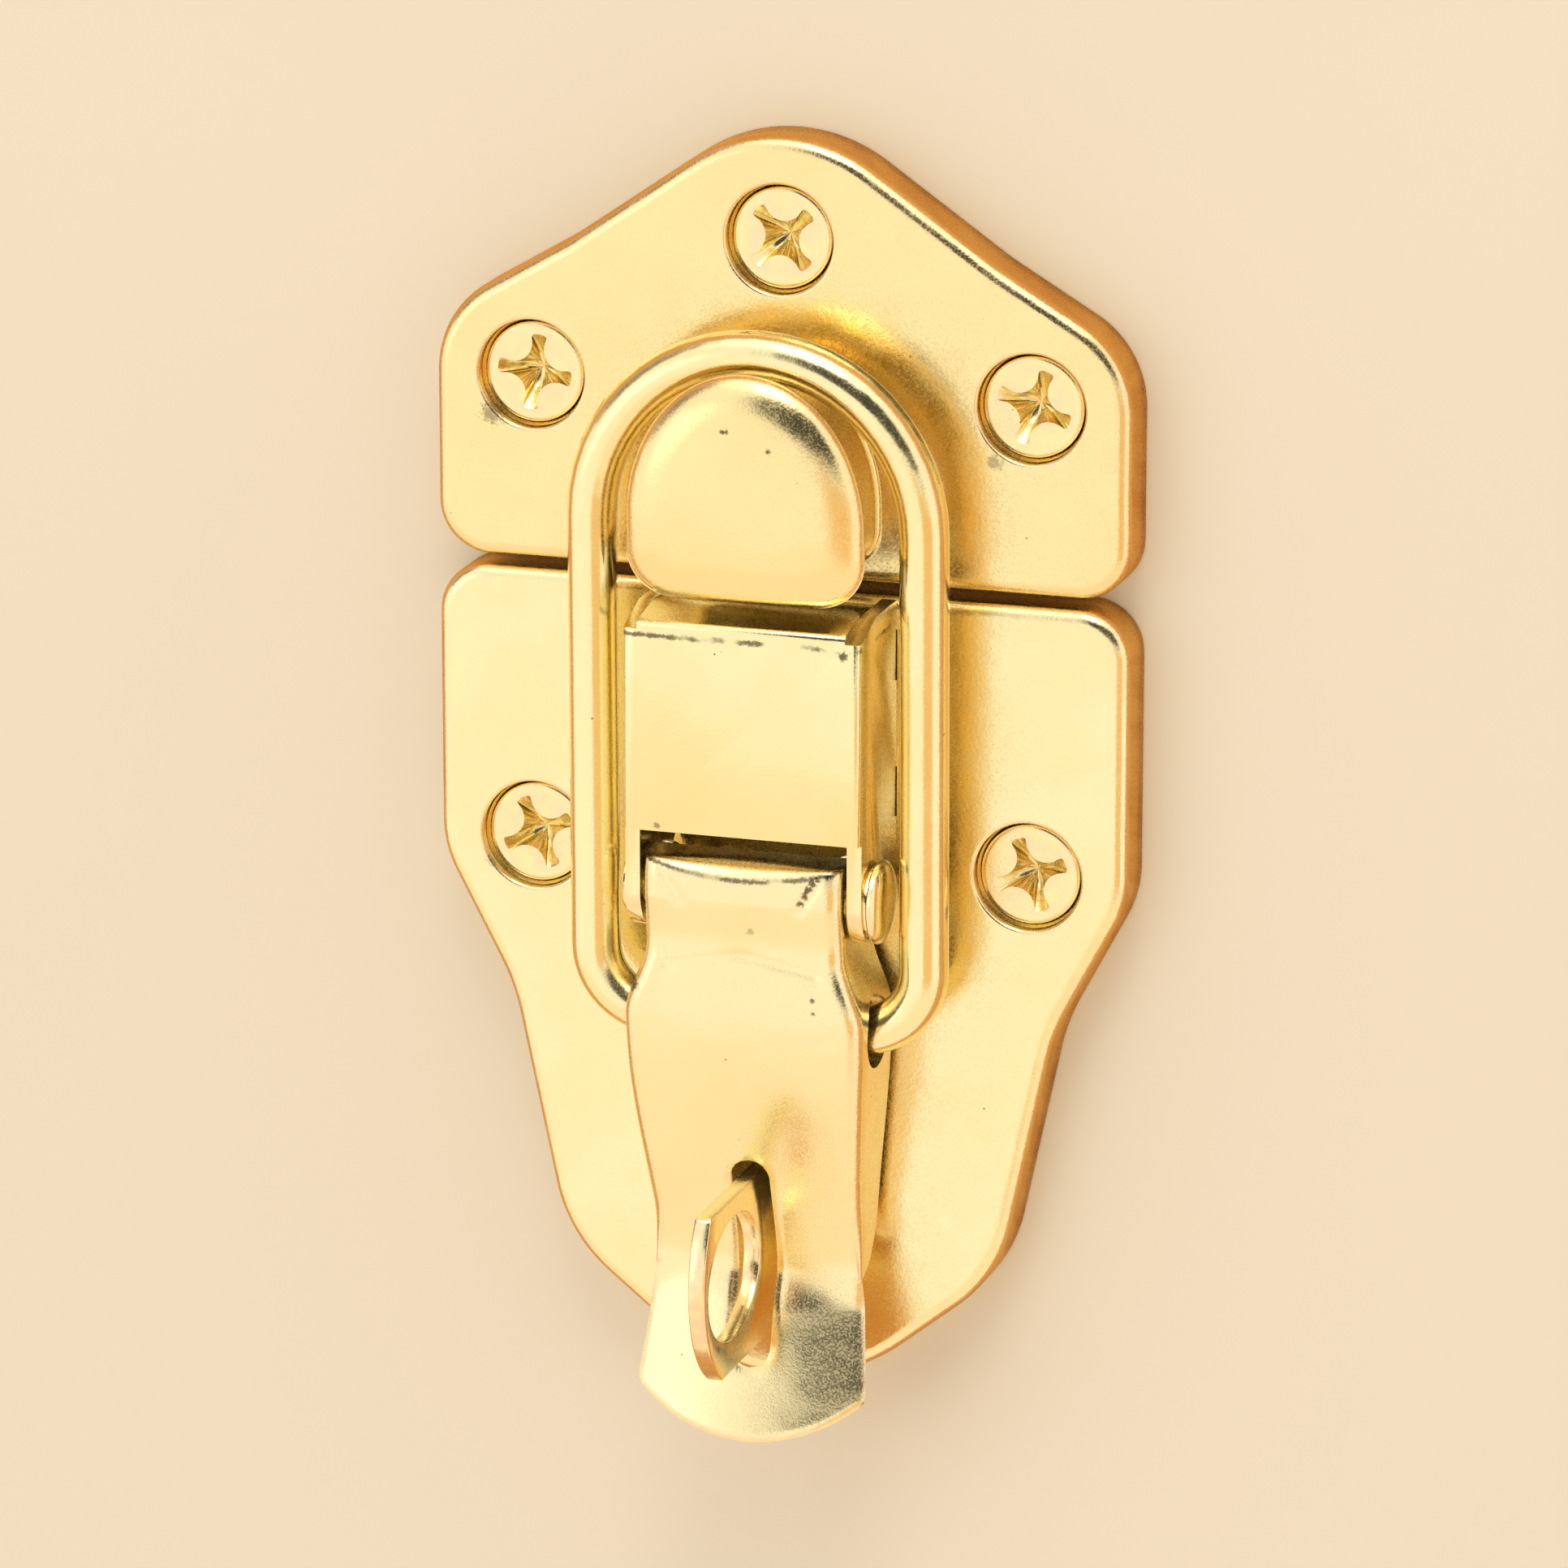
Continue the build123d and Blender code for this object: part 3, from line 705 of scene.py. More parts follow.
keeperScrews = ["keeper_screw_top", "keeper_screw_left", "keeper_screw_right"]
keeper = panPlate("keeperPlateDressed", keeperCorners, keeperScrews, [], True)
dress(keeper, "mounted", "keeper_plate", "keeper_plate")
# Slots for the bracket's four tabs and for the staple: across, up, width, length
baseSlots = [(side * 6.84, up, 1.0, 3.1) for side in (-1, 1) for up in (-12.15, -3.8)]
baseSlots.append((0, -40.25, 1.15, 6.1))
base = panPlate("basePlateDressed", baseCorners, ["base_screw_left", "base_screw_right"], baseSlots)
dress(base, "mounted", "base_plate", "base_plate")
print("stage 3: pan plates ready")

bracketSizes = {
    "soften": 0.09,
    "pieces": 2,
    "merge": 1e-6,  # m
    "flatter": 0.6,  # degrees, triangles flatter than this are joined
    "smooth": 32,
}


# A copy of the solid's surface, its loose triangles joined and its edges softened
def bracket():
    size = bracketSizes
    bm = bmesh.new()
    bm.from_mesh(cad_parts["pivot_bracket"].data)
    bmesh.ops.remove_doubles(bm, verts=bm.verts, dist=size["merge"])
    flatter = math.radians(size["flatter"])
    bmesh.ops.dissolve_limit(
        bm, angle_limit=flatter, verts=bm.verts, edges=bm.edges, delimit={"NORMAL"}
    )
    piece = finishMesh(bm, "pivotBracketDressed")
    roundEdges(piece, size["soften"], size["pieces"])
    smoothByAngle(piece, size["smooth"])
    return piece


dress(bracket(), "mounted", "bracket", "pivot_bracket")
print("stage 4: bracket ready")

pinSizes = {
    "height": 4.5,
    "up": -17.7,
    "count": 64,
    "smooth": 40,
    "true": 1.3,  # no wider than this it is truly round
    # (distance across, radius) from the round head on the right to the peened end on the left
    "profile": [
        (8.24, 0.0),
        (8.235, 1.2),
        (8.2, 1.75),
        (8.11, 2.15),
        (7.96, 2.40),
        (7.78, 2.52),
        (7.6, 2.5),
        (7.51, 2.4),
        (7.49, 2.2),
        (7.49, 1.25),
        (-7.49, 1.25),
        (-7.49, 1.55),
        (-7.55, 1.75),
        (-7.7, 1.8),
        (-7.86, 1.66),
        (-7.95, 1.3),
        (-7.985, 0.75),
        (-7.99, 0.0),
    ],
}


def rivet():
    size = pinSizes
    bm = bmesh.new()
    out, up = plateTop + size["height"], size["up"]
    rings = []
    for across, radius in size["profile"][1:-1]:
        # The head was struck by hand, so its rim isn't quite round
        def radiusAt(angle, radius=radius):
            uneven = radius * (1 + 0.006 * math.sin(3 * angle + 0.7) + 0.004 * math.sin(7 * angle))
            return uneven if radius > size["true"] else radius

        rings.append(crossRing(bm, across, out, up, radiusAt, size["count"]))
    skin(bm, rings)
    for end in (0, -1):
        fan(bm, rings[end], bm.verts.new(at(size["profile"][end][0], out, up)))
    piece = finishMesh(bm, "pivotRivetDressed")
    smoothByAngle(piece, size["smooth"])
    return piece


dress(rivet(), "mounted", "pin", "pivot_pin")

stapleSizes = {
    "half": 5.35,
    "up": -40.25,
    "top": 16.1,
    "crest": 1.55,  # up from the middle
    "upperDrop": 1.4,
    "lowerDrop": 3.5,
    "thick": 1.05,
    "tabHalf": 3.0,
    "tabDeep": 1.1,
    "eyeOut": 10.35,
    "eyeUp": 0.4,
    "eyeHigh": 9.9,
    "eyeLong": 7.5,
    "eyeCount": 80,
    "soften": 0.17,
    "smooth": 35,
    # peened head behind the plate
    "headWide": 1.85,
    "headLong": 6.8,
    "headTall": 0.5,
    "headCorner": 0.4,
    "headSmooth": 45,
}


# Arc through three points of a plane, from the first to the last
def arcThrough(first, middle, last, pieces):
    a, b, c = (Vector(point) for point in (first, middle, last))
    cross = 2 * ((b - a).x * (c - a).y - (b - a).y * (c - a).x)
    one, two = (b - a).length_squared, (c - a).length_squared
    across = ((c - a).y * one - (b - a).y * two) / cross
    centre = a + Vector((across, ((b - a).x * two - (c - a).x * one) / cross))
    start = math.atan2((a - centre).y, (a - centre).x)
    turn = turnBetween(start, math.atan2((c - centre).y, (c - centre).x))
    radius = (a - centre).length
    angles = [start + turn * piece / pieces for piece in range(pieces + 1)]
    return [centre + Vector((math.cos(angle), math.sin(angle))) * radius for angle in angles]


def staple():
    size = stapleSizes
    half, top, tab, deep = (size[key] for key in ("half", "top", "tabHalf", "tabDeep"))
    lower, upper = top - size["lowerDrop"], top - size["upperDrop"]
    outer = [Vector((lower * piece / 14, -half)) for piece in range(14)]
    outer += arcThrough((lower, -half), (top, size["crest"]), (upper, half), 40)
    outer += [Vector((upper * piece / 14, half)) for piece in range(13, -1, -1)]
    outer += [Vector(spot) for spot in ((0, tab), (-deep, tab), (-deep, -tab), (0, -tab))]
    eye = []
    for index in range(size["eyeCount"]):
        angle = 2 * math.pi * index / size["eyeCount"]
        across = size["eyeLong"] / 2 * math.sin(angle)
        high = size["eyeHigh"] / 2 * math.cos(angle)
        eye.append(Vector((size["eyeOut"] + high, size["eyeUp"] + across)))
    bm = bmesh.new()
    sides = []
    for across in (-size["thick"] / 2, size["thick"] / 2):
        loops = []
        for loop in (outer, eye):
            places = [at(across, plateTop + p.x, size["up"] + p.y) for p in loop]
            loops.append([bm.verts.new(place) for place in places])
        sides.append(loops)
        fillFlat(bm, loops)
    for left, right in zip(*sides):
        skin(bm, [left, right])
    piece = finishMesh(bm, "padlockStapleDressed")
    roundEdges(piece, size["soften"], 3)
    smoothByAngle(piece, size["smooth"])
    return piece


# Peened head behind the plate, slightly mushroomed
def stapleHead():
    size = stapleSizes
    low = roof - size["headTall"]
    corners = fourCorners(0, size["up"], size["headWide"], size["headLong"])
    outline = roundedOutline([(*corner, size["headCorner"]) for corner in corners], 0.2)
    profile = [(0.05, roof), (0, roof - 0.1), (0, roof - 0.25), (0.1, low + 0.08), (0.3, low)]
    bm = bmesh.new()
    rings = [addRing(bm, insetOutline(outline, inset), out) for inset, out in profile]
    skin(bm, rings)
    bm.faces.new(rings[0])
    bm.faces.new(rings[-1])
    piece = finishMesh(bm, "stapleTabHead")
    smoothByAngle(piece, size["headSmooth"])
    return piece


dress(staple(), "mounted", "staple", "padlock_staple")
dress(stapleHead(), "mounted", "staple", "padlock_staple")
print("stage 5: rivet and staple ready")

leverSizes = {
    "sheet": 0.95,
    "edgeRows": 5,  # across the sheet's thickness
    "bend": 1.0,  # outer radius between face and flange
    "upper": -15.2,
    "common": -17.0,  # from here down the rows are straight
    "pinOut": 4.5,
    "pinUp": -17.7,
    "pinReach": 2.5,
    "pinHole": 1.3,
    "wireOut": 3.8,
    "wireUp": -25.9,
    "wireHole": 2.225,
    "cutHalf": 12,  # half the length of the rods that cut both pairs of holes
    "flangeLow": 1.0,
    "flangeFront": -21.5,
    "flangeHeel": -37.6,
    "flangeEnd": -41.5,
    "endBend": 0.22,  # the bend is this sharp where the flange runs out
    "endRun": 4.0,
    # side view of the outer face, (height over the plate, up)
    "path": [
        (7.74, -17.6),
        (7.38, -20.7),
        (7.43, -21.4),
        (7.64, -23.6),
        (7.57, -25.6),
        (7.2, -29.0),
        (6.42, -32.6),
        (4.95, -37.4),
        (4.15, -41.0),
        (4.62, -43.6),
        (5.72, -47.6),
        (6.78, -51.4),
    ],
    "pathStart": (-0.11, -1),  # directions at its ends
    "pathEnd": (0.28, -1),
    # half widths, (up, half width), joined by soft steps
    "widths": [(-15.2, 6.15), (-20.6, 6.15), (-25.2, 7.4), (-41.2, 6.45)],
    "tipWidths": [(-41.2, 6.45), (-48.0, 7.12), (-60.0, 7.12)],  # joined by straight lines
    "smileUp": -16.25,  # crease under the rolled end, higher at its ends
    "smileRise": 0.8,
    "smileHalf": 5.5,
    "rollTilt": 36.0,
    "rollStraight": 0.3,
    "rollBlend": 0.17,
    "rollFoot": -19.5,
    "rollRows": (4, 9, 12),  # on the wall, round the roll and on the face under it
    "crown": 0.12,
    "crownTop": (-21.5, 5),  # where it starts and how far it takes to grow
    "crownFoot": (-44, 6),
    "tipCrown": 0.85,
    "tipTop": (-41.2, 2.4),
    "tipFoot": -44,  # the rounded end shapes the rim from here down
    "rimDrop": 0.15,  # how far the sheared edge is drawn down
    "rimWide": 0.5,  # and over what width
    "rimBulge": 0.09,
    # pressed-in lines, (across, up, across, up, width, depth)
    "dents": [
        (5.2, -15.5, 3.7, -17.7, 0.36, 0.10),
        (-5.6, -15.3, -5.3, -18.0, 0.34, 0.08),
        (4.75, -22.2, 5.25, -25.6, 0.5, 0.03),
        (-4.3, -20.6, 0.2, -20.9, 0.3, 0.05),
        (0.2, -20.9, 4.6, -21.7, 0.3, 0.06),
    ],
    "dentReach": 4.5,
    "slotHalf": 1.2,
    "slotTop": -34.0,
    "slotFoot": -47.1,
    "slotSteps": (0.1, 0.33, 0.66, 0.98),
    "heelSteps": (0.45, 0.27, 0.12, 0.03, 0.0),
    "endStart": -47.5,
    "end": -51.4,
    "cornerUp": -48.8,
    "cornerRadius": 1.2,
    "rowStep": 0.27,
    "fineStep": 0.15,
    "fineEnd": -22.0,
    "faceColumns": 24,
    "columnSpread": 0.3,  # columns crowd towards the bend
    "bendColumns": 7,
    "flangeColumns": 7,
    "endRows": 16,
    "merge": 4e-6,  # m
    "smooth": 42,
}


# Smooth curve through points, with a direction given at each end
def splineThrough(points, first, last, pieces):
    spots = np.array(points, float)
    runs = np.linalg.norm(np.diff(spots, axis=0), axis=1)
    count = len(spots)
    matrix = np.zeros((count, count))
    right = np.zeros((count, 2))
    matrix[0, 0] = matrix[-1, -1] = 1
    right[0] = np.array(first) / np.linalg.norm(first)
    right[-1] = np.array(last) / np.linalg.norm(last)
    for i in range(1, count - 1):
        before, after = runs[i - 1], runs[i]
        matrix[i, i - 1 : i + 2] = after, 2 * (before + after), before
        step = (spots[i] - spots[i - 1]) / before * after
        step += (spots[i + 1] - spots[i]) / after * before
        right[i] = 3 * step
    slopes = np.linalg.solve(matrix, right)
    curve = []
    for i in range(count - 1):
        for piece in range(pieces):
            t = piece / pieces
            curve.append(
                (2 * t**3 - 3 * t**2 + 1) * spots[i]
                + (t**3 - 2 * t**2 + t) * runs[i] * slopes[i]
                + (3 * t**2 - 2 * t**3) * spots[i + 1]
                + (t**3 - t**2) * runs[i] * slopes[i + 1]
            )
    curve.append(spots[-1])
    return np.array(curve)


leverCurve = splineThrough(leverSizes["path"], leverSizes["pathStart"], leverSizes["pathEnd"], 40)


def within(value, low=0.0, high=1.0):
    return min(max(value, low), high)


def softStep(share):
    share = within(share)
    return share * share * (3 - 2 * share)


def leverHalf(up):
    size = leverSizes
    soft = up > size["widths"][-1][0]
    widths = size["widths"] if soft else size["tipWidths"]
    for (upperUp, upperHalf), (lowerUp, lowerHalf) in zip(widths, widths[1:]):
        if up >= lowerUp:
            share = within((upperUp - up) / (upperUp - lowerUp))
            return upperHalf + (lowerHalf - upperHalf) * (softStep(share) if soft else share)
    return widths[-1][1]


# Depth of a pressed-in line at a point of the face
def dentDepth(across, up, dent):
    startAcross, startUp, endAcross, endUp, wide, depth = dent
    run = Vector((endAcross - startAcross, endUp - startUp))
    there = Vector((across - startAcross, up - startUp))
    along = there.dot(run) / run.length_squared
    near = Vector((startAcross, startUp)) + run * within(along)
    away = (Vector((across, up)) - near).length / wide
    return depth * math.exp(-(away**2))


# Radius and middle of the arc that ends the spoon, and half its width
def spoonArc():
    size = leverSizes
    sagitta = size["cornerUp"] - size["end"]
    half = size["tipWidths"][-1][1]
    radius = (half**2 + sagitta**2) / (2 * sagitta)
    return radius, size["end"] + radius, half


# Distance from the free edge of the spoon end, and from the slot
def rimDistance(across, up):
    size = leverSizes
    radius, archUp, _ = spoonArc()
    ends = sides = inside = 9.0
    if up < size["tipFoot"]:
        ends = radius - math.hypot(across, up - archUp)
    if up <= size["flangeEnd"]:
        sides = leverHalf(up) - abs(across)
    if size["slotFoot"] - 1 < up < size["slotTop"] + 1:
        near, far = size["slotTop"] - size["slotHalf"], size["slotFoot"] + size["slotHalf"]
        inside = math.hypot(across, up - within(up, far, near)) - size["slotHalf"]
    return max(min(ends, sides, inside), 0.0)


def smileLine(across):
    size = leverSizes
    return size["smileUp"] + size["smileRise"] * (across / size["smileHalf"]) ** 2


# Height of the outer face over the plate
def leverFace(up, across):
    size = leverSizes
    height = float(np.interp(-up, -leverCurve[:, 1], leverCurve[:, 0]))
    arch = 1 - (across / leverHalf(up)) ** 2
    (top, topRun), (foot, footRun) = size["crownTop"], size["crownFoot"]
    tip, tipRun = size["tipTop"]
    height += size["crown"] * arch * softStep((top - up) / topRun) * softStep((up - foot) / footRun)
    height += size["tipCrown"] * (arch - 0.5) * softStep((tip - up) / tipRun)
    if up > size["rollFoot"]:
        slope = math.tan(math.radians(size["rollTilt"]))
        ramp = size["path"][0][0] - slope * (up - smileLine(across))
        height = (height + ramp - math.hypot(height - ramp, size["rollBlend"])) / 2
    for dent in size["dents"]:
        if abs(up - (dent[1] + dent[3]) / 2) < size["dentReach"]:
            height -= dentDepth(across, up, dent)
    share = 1 - min(rimDistance(across, up) / size["rimWide"], 1.0)
    return height - size["rimDrop"] * share**2


# Height of the flange's lower edge
def flangeEdge(up):
    size = leverSizes
    pinUp, flangeLow = size["pinUp"], size["flangeLow"]
    if up > pinUp:
        reach = size["pinReach"] ** 2 - (up - pinUp) ** 2
        return size["pinOut"] - math.sqrt(max(reach, 0.0))
    low = size["pinOut"] - size["pinReach"]
    if up > size["flangeFront"]:
        return low + (flangeLow - low) * (pinUp - up) / (pinUp - size["flangeFront"])
    if up > size["flangeHeel"]:
        return flangeLow
    share = (size["flangeHeel"] - up) / (size["flangeHeel"] - size["flangeEnd"])
    drop = 1 - math.sqrt(max(1 - min(share, 1.0) ** 2, 0.0))
    return flangeLow + (leverFace(up, leverHalf(up)) - flangeLow) * drop


def slotEdge(up):
    size = leverSizes
    radius = size["slotHalf"]
    if up > size["slotTop"] or up < size["slotFoot"]:
        return 0.0
    away = up - within(up, size["slotFoot"] + radius, size["slotTop"] - radius)
    return math.sqrt(max(radius**2 - away**2, 0.0))


# Places of the rows down the face, closer together at the crease and the slot's ends
def rowPlaces():
    size = leverSizes
    fine = size["fineStep"]
    crease = list(np.arange(size["common"] - fine, size["fineEnd"], -fine))
    top, foot = size["slotTop"], size["slotFoot"]
    nearTop = [top - step for step in (0.0, *size["slotSteps"], size["slotHalf"])]
    nearFoot = [foot + step for step in (size["slotHalf"], *reversed(size["slotSteps"]), 0.0)]
    heel = [size["flangeEnd"] + step for step in size["heelSteps"]]

    def run(start, end):
        pieces = max(1, round((start - end) / size["rowStep"]))
        return [start + (end - start) * piece / pieces for piece in range(1, pieces)]

    places = crease + run(crease[-1], top) + nearTop + run(nearTop[-1], heel[0]) + heel
    return places + run(heel[-1], nearFoot[0]) + nearFoot + [size["endStart"]]


def columnShare(column):
    share = column / leverSizes["faceColumns"]
    return share + leverSizes["columnSpread"] * share * (1 - share)


# One row as points from the middle or the slot to the bend, then round it and down the flange
def leverRow(up):
    size = leverSizes
    half = leverHalf(up)
    inner = slotEdge(up)
    face = leverFace(up, half)
    depth = max(face - flangeEdge(up), 0.0) if up > size["flangeEnd"] + 1e-6 else 0.0
    grown = softStep((up - size["flangeEnd"]) / size["endRun"])
    bend = size["endBend"] + (size["bend"] - size["endBend"]) * grown
    bend = min(bend, depth * 0.7)
    edge = half - bend
    row = []
    for column in range(size["faceColumns"] + 1):
        across = inner + (edge - inner) * columnShare(column)
        row.append(Vector((across, leverFace(up, across), up)))
    if depth:
        row += flangePoints(row[-1], Vector((-1, 0)), row[-1].y - flangeEdge(up), bend, half)
    return row


# Points round the bend and down the flange, in a direction given in the side view
def flangePoints(start, drop, depth, bend, half):
    size = leverSizes
    bend = min(bend, depth * 0.7)
    points = []
    for share, rise in quarter(size["bendColumns"])[1:]:
        move = drop * bend * share
        across = start.x + (half - start.x) * rise
        points.append(Vector((across, start.y + move.x, start.z + move.y)))
    for column in range(1, size["flangeColumns"] + 1):
        move = drop * (bend + (depth - bend) * column / size["flangeColumns"])
        points.append(Vector((half, start.y + move.x, start.z + move.y)))
    return points


# Rows of the rolled end: up from the pin's height, over the roll and down to the straight rows
def rolledRows():
    size = leverSizes
    upper, pinOut, pinUp, pinReach = (size[key] for key in ("upper", "pinOut", "pinUp", "pinReach"))
    half = leverHalf(upper)
    edge = half - size["bend"]
    tilt = math.radians(size["rollTilt"])
    wallRows, rimRows, faceRows = size["rollRows"]
    columns = []
    for column in range(size["faceColumns"] + 1):
        across = edge * columnShare(column)
        room = upper - smileLine(across)
        meet = upper - room * (1 - size["rollStraight"])
        radius = (upper - meet) / (1 - math.sin(tilt))
        centre = leverFace(meet, across) - radius * math.cos(tilt)
        points = []
        for piece in range(wallRows):
            height = pinOut + (centre - pinOut) * piece / wallRows
            points.append(Vector((across, height, upper)))
        for piece in range(rimRows + 1):
            angle = math.pi / 2 + (tilt - math.pi / 2) * piece / rimRows
            height = centre + radius * math.cos(angle)
            points.append(Vector((across, height, upper - radius + radius * math.sin(angle))))
        for piece in range(1, faceRows + 1):
            up = meet + (size["common"] - meet) * piece / faceRows
            points.append(Vector((across, leverFace(up, across), up)))
        columns.append(points)
    rows = [list(row) for row in zip(*columns)]
    last = math.acos(-math.sqrt(pinReach**2 - (rows[-1][-1].z - pinUp) ** 2) / pinReach)
    for index, row in enumerate(rows):
        angle = math.pi / 2 + (last - math.pi / 2) * index / (len(rows) - 1)
        foot = (pinOut + pinReach * math.cos(angle), pinUp + pinReach * math.sin(angle))
        start = row[-1]
        drop = Vector(foot) - Vector((start.y, start.z))
        depth = drop.length
        way = drop.normalized() if depth > 1e-4 else Vector((0, -1))
        row += flangePoints(start, way, max(depth, 1e-3), size["bend"], half)
    return rows


# The point a given share along a line of points
def alongLine(line, share):
    lengths = [0.0]
    for one, two in zip(line, line[1:]):
        lengths.append(lengths[-1] + (two - one).length)
    wanted = share * lengths[-1]
    return Vector([float(np.interp(wanted, lengths, [p[axis] for p in line])) for axis in (0, 1)])


# Rows of the spoon end, spread between a straight row and the rounded edge
def spoonRows(startRow):
    size = leverSizes
    half = startRow[-1].x
    radius, archUp, full = spoonArc()
    corner = size["cornerRadius"]
    cornerAcross = full - corner
    cornerUp = archUp - math.sqrt((radius - corner) ** 2 - cornerAcross**2)
    turn = math.atan2(cornerUp - archUp, cornerAcross)
    start = size["endStart"]

    def cornerPoint(angle):
        across = cornerAcross + corner * math.cos(angle)
        return Vector((across, cornerUp + corner * math.sin(angle)))

    side = [Vector((half, start)), Vector((full, cornerUp))]
    side += [cornerPoint(turn / 2 * piece / 8) for piece in range(1, 9)]
    low = [cornerPoint(turn / 2 + turn / 2 * piece / 8) for piece in range(9)]
    for angle in np.linspace(turn, -math.pi / 2, 30)[1:]:
        low.append(Vector((radius * math.cos(angle), archUp + radius * math.sin(angle))))
    low.reverse()
    rows = []
    for piece in range(1, size["endRows"] + 1):
        v = piece / size["endRows"]
        row = []
        for column in range(size["faceColumns"] + 1):
            u = columnShare(column)
            top = Vector((half * u, start))
            left = Vector((0, start + (size["end"] - start) * v))
            blend = top * (1 - v) + alongLine(low, u) * v + left * (1 - u) + alongLine(side, v) * u
            blend -= Vector((0, start)) * (1 - u) * (1 - v) + Vector((half, start)) * u * (1 - v)
            blend -= low[0] * (1 - u) * v + side[-1] * u * v
            row.append(Vector((blend.x, leverFace(blend.y, blend.x), blend.y)))
        rows.append(row)
    return rows


# Gives a sheet its thickness behind, with slightly bulged sheared edges
def thicken(bm, sheet, bulge, pieces):
    bm.normal_update()
    outer = list(bm.verts)
    normals = {vert: vert.normal.copy() for vert in outer}
    rims = [edge for edge in bm.edges if len(edge.link_faces) == 1]
    away = {}
    for edge in rims:
        face = edge.link_faces[0]
        first, second = edge.verts
        side = (second.co - first.co).cross(face.normal).normalized()
        if side.dot(face.calc_center_median() - first.co) > 0:
            side.negate()
        for vert in edge.verts:
            away[vert] = away.get(vert, Vector()) + side
    inner = {vert: bm.verts.new(vert.co - normals[vert] * sheet) for vert in outer}
    for face in list(bm.faces):
        bm.faces.new([inner[vert] for vert in reversed(face.verts)])
    lines = {}
    for vert, side in away.items():
        side.normalize()
        line = [vert]
        for piece in range(1, pieces):
            share = piece / pieces
            swell = bulge * (1 - abs(2 * share - 1) ** 2.5)
            line.append(bm.verts.new(vert.co - normals[vert] * sheet * share + side * swell))
        lines[vert] = [*line, inner[vert]]
    for edge in rims:
        first, second = (lines[vert] for vert in edge.verts)
        for piece in range(pieces):
            bm.faces.new((first[piece], second[piece], second[piece + 1], first[piece + 1]))
    bmesh.ops.recalc_face_normals(bm, faces=bm.faces)


def lever():
    size = leverSizes
    rows = rolledRows() + [leverRow(up) for up in rowPlaces()]
    rows += spoonRows(rows[-1])
    bm = bmesh.new()
    for side in (-1, 1):
        grid = [[bm.verts.new(at(side * p.x, plateTop + p.y, p.z)) for p in row] for row in rows]
        for upper, lower in zip(grid, grid[1:]):
            shared = min(len(upper), len(lower))
            faces = []
            for column in range(shared - 1):
                faces.append((upper[column], upper[column + 1], lower[column + 1], lower[column]))
            # The flange's end closes on the face's last point
            for one, two in zip(upper[shared - 1 :], upper[shared:]):
                faces.append((one, two, lower[-1]))
            for corners in faces:
                bm.faces.new(corners if side < 0 else corners[::-1])
    bmesh.ops.remove_doubles(bm, verts=bm.verts, dist=size["merge"])
    thicken(bm, size["sheet"] * mm, size["rimBulge"] * mm, size["edgeRows"])
    piece = finishMesh(bm, "leverDressed")
    for hole, out, up in (("pinHole", "pinOut", "pinUp"), ("wireHole", "wireOut", "wireUp")):
        rod = crossRod(hole, size[hole], size["cutHalf"], plateTop + size[out], size[up])
        cutAway(piece, rod)
    smoothByAngle(piece, size["smooth"])
    return piece


dress(lever(), "lever", "lever", "lever")
print("stage 6: lever ready")

bailSizes = {
    "wire": 1.475,
    "half": 10.215,
    "corner": 4.0,
    "barOut": 3.8,
    "barUp": -25.9,
    "topOut": 4.25,
    "topUp": 14.75,
    "steps": 420,
    "around": 40,
    "unevenness": 0.02,
}


# Bent wire as a Bezier loop, with four arcs
def bailLoop():
    size = bailSizes
    half, corner, barOut, barUp = (size[key] for key in ("half", "corner", "barOut", "barUp"))
    length = math.hypot(size["topOut"] - barOut, size["topUp"] - barUp)
    lean = (size["topOut"] - barOut) / length
    climb = (size["topUp"] - barUp) / length
    pull = 4 / 3 * math.tan(math.pi / 8)
    sideTop = length - half

    def spot(across, along):
        return at(across, plateTop + barOut + lean * along, barUp + climb * along)

    # (point, handle before, handle after), the last two only where an arc starts or ends
    knots = [
        ((-half + corner, 0), (-half + corner - corner * pull, 0), None),
        ((half - corner, 0), None, (half - corner + corner * pull, 0)),
        ((half, corner), (half, corner - corner * pull), None),
        ((half, sideTop), None, (half, sideTop + half * pull)),
        ((0, length), (half * pull, length), (-half * pull, length)),
        ((-half, sideTop), (-half, sideTop + half * pull), None),
        ((-half, corner), None, (-half, corner - corner * pull)),
    ]
    curve = bpy.data.curves.new("bailLine", "CURVE")
    curve.dimensions = "3D"
    spline = curve.splines.new("BEZIER")
    spline.bezier_points.add(len(knots) - 1)
    spline.use_cyclic_u = True
    for index, (point, before, after) in enumerate(knots):
        knot = spline.bezier_points[index]
        previous, following = knots[index - 1][0], knots[(index + 1) % len(knots)][0]
        knot.handle_left_type = knot.handle_right_type = "FREE"
        knot.co = spot(*point)
        knot.handle_left = spot(*(before or Vector(point).lerp(Vector(previous), 1 / 3)))
        knot.handle_right = spot(*(after or Vector(point).lerp(Vector(following), 1 / 3)))
    return addObject("bailLine", curve)


# A tree of geometry nodes, its inputs given as name, kind, first value and least value
def newTree(name, inputs):
    tree = bpy.data.node_groups.new(name, "GeometryNodeTree")
    for way in ("INPUT", "OUTPUT"):
        tree.interface.new_socket(name="Geometry", in_out=way, socket_type="NodeSocketGeometry")
    for label, kind, value, low in inputs:
        socket = tree.interface.new_socket(name=label, in_out="INPUT", socket_type=kind)
        if value is not None:
            socket.default_value = value
            socket.min_value = low
    nodes = Nodes(tree)
    return tree, nodes, nodes.add("NodeGroupInput").outputs


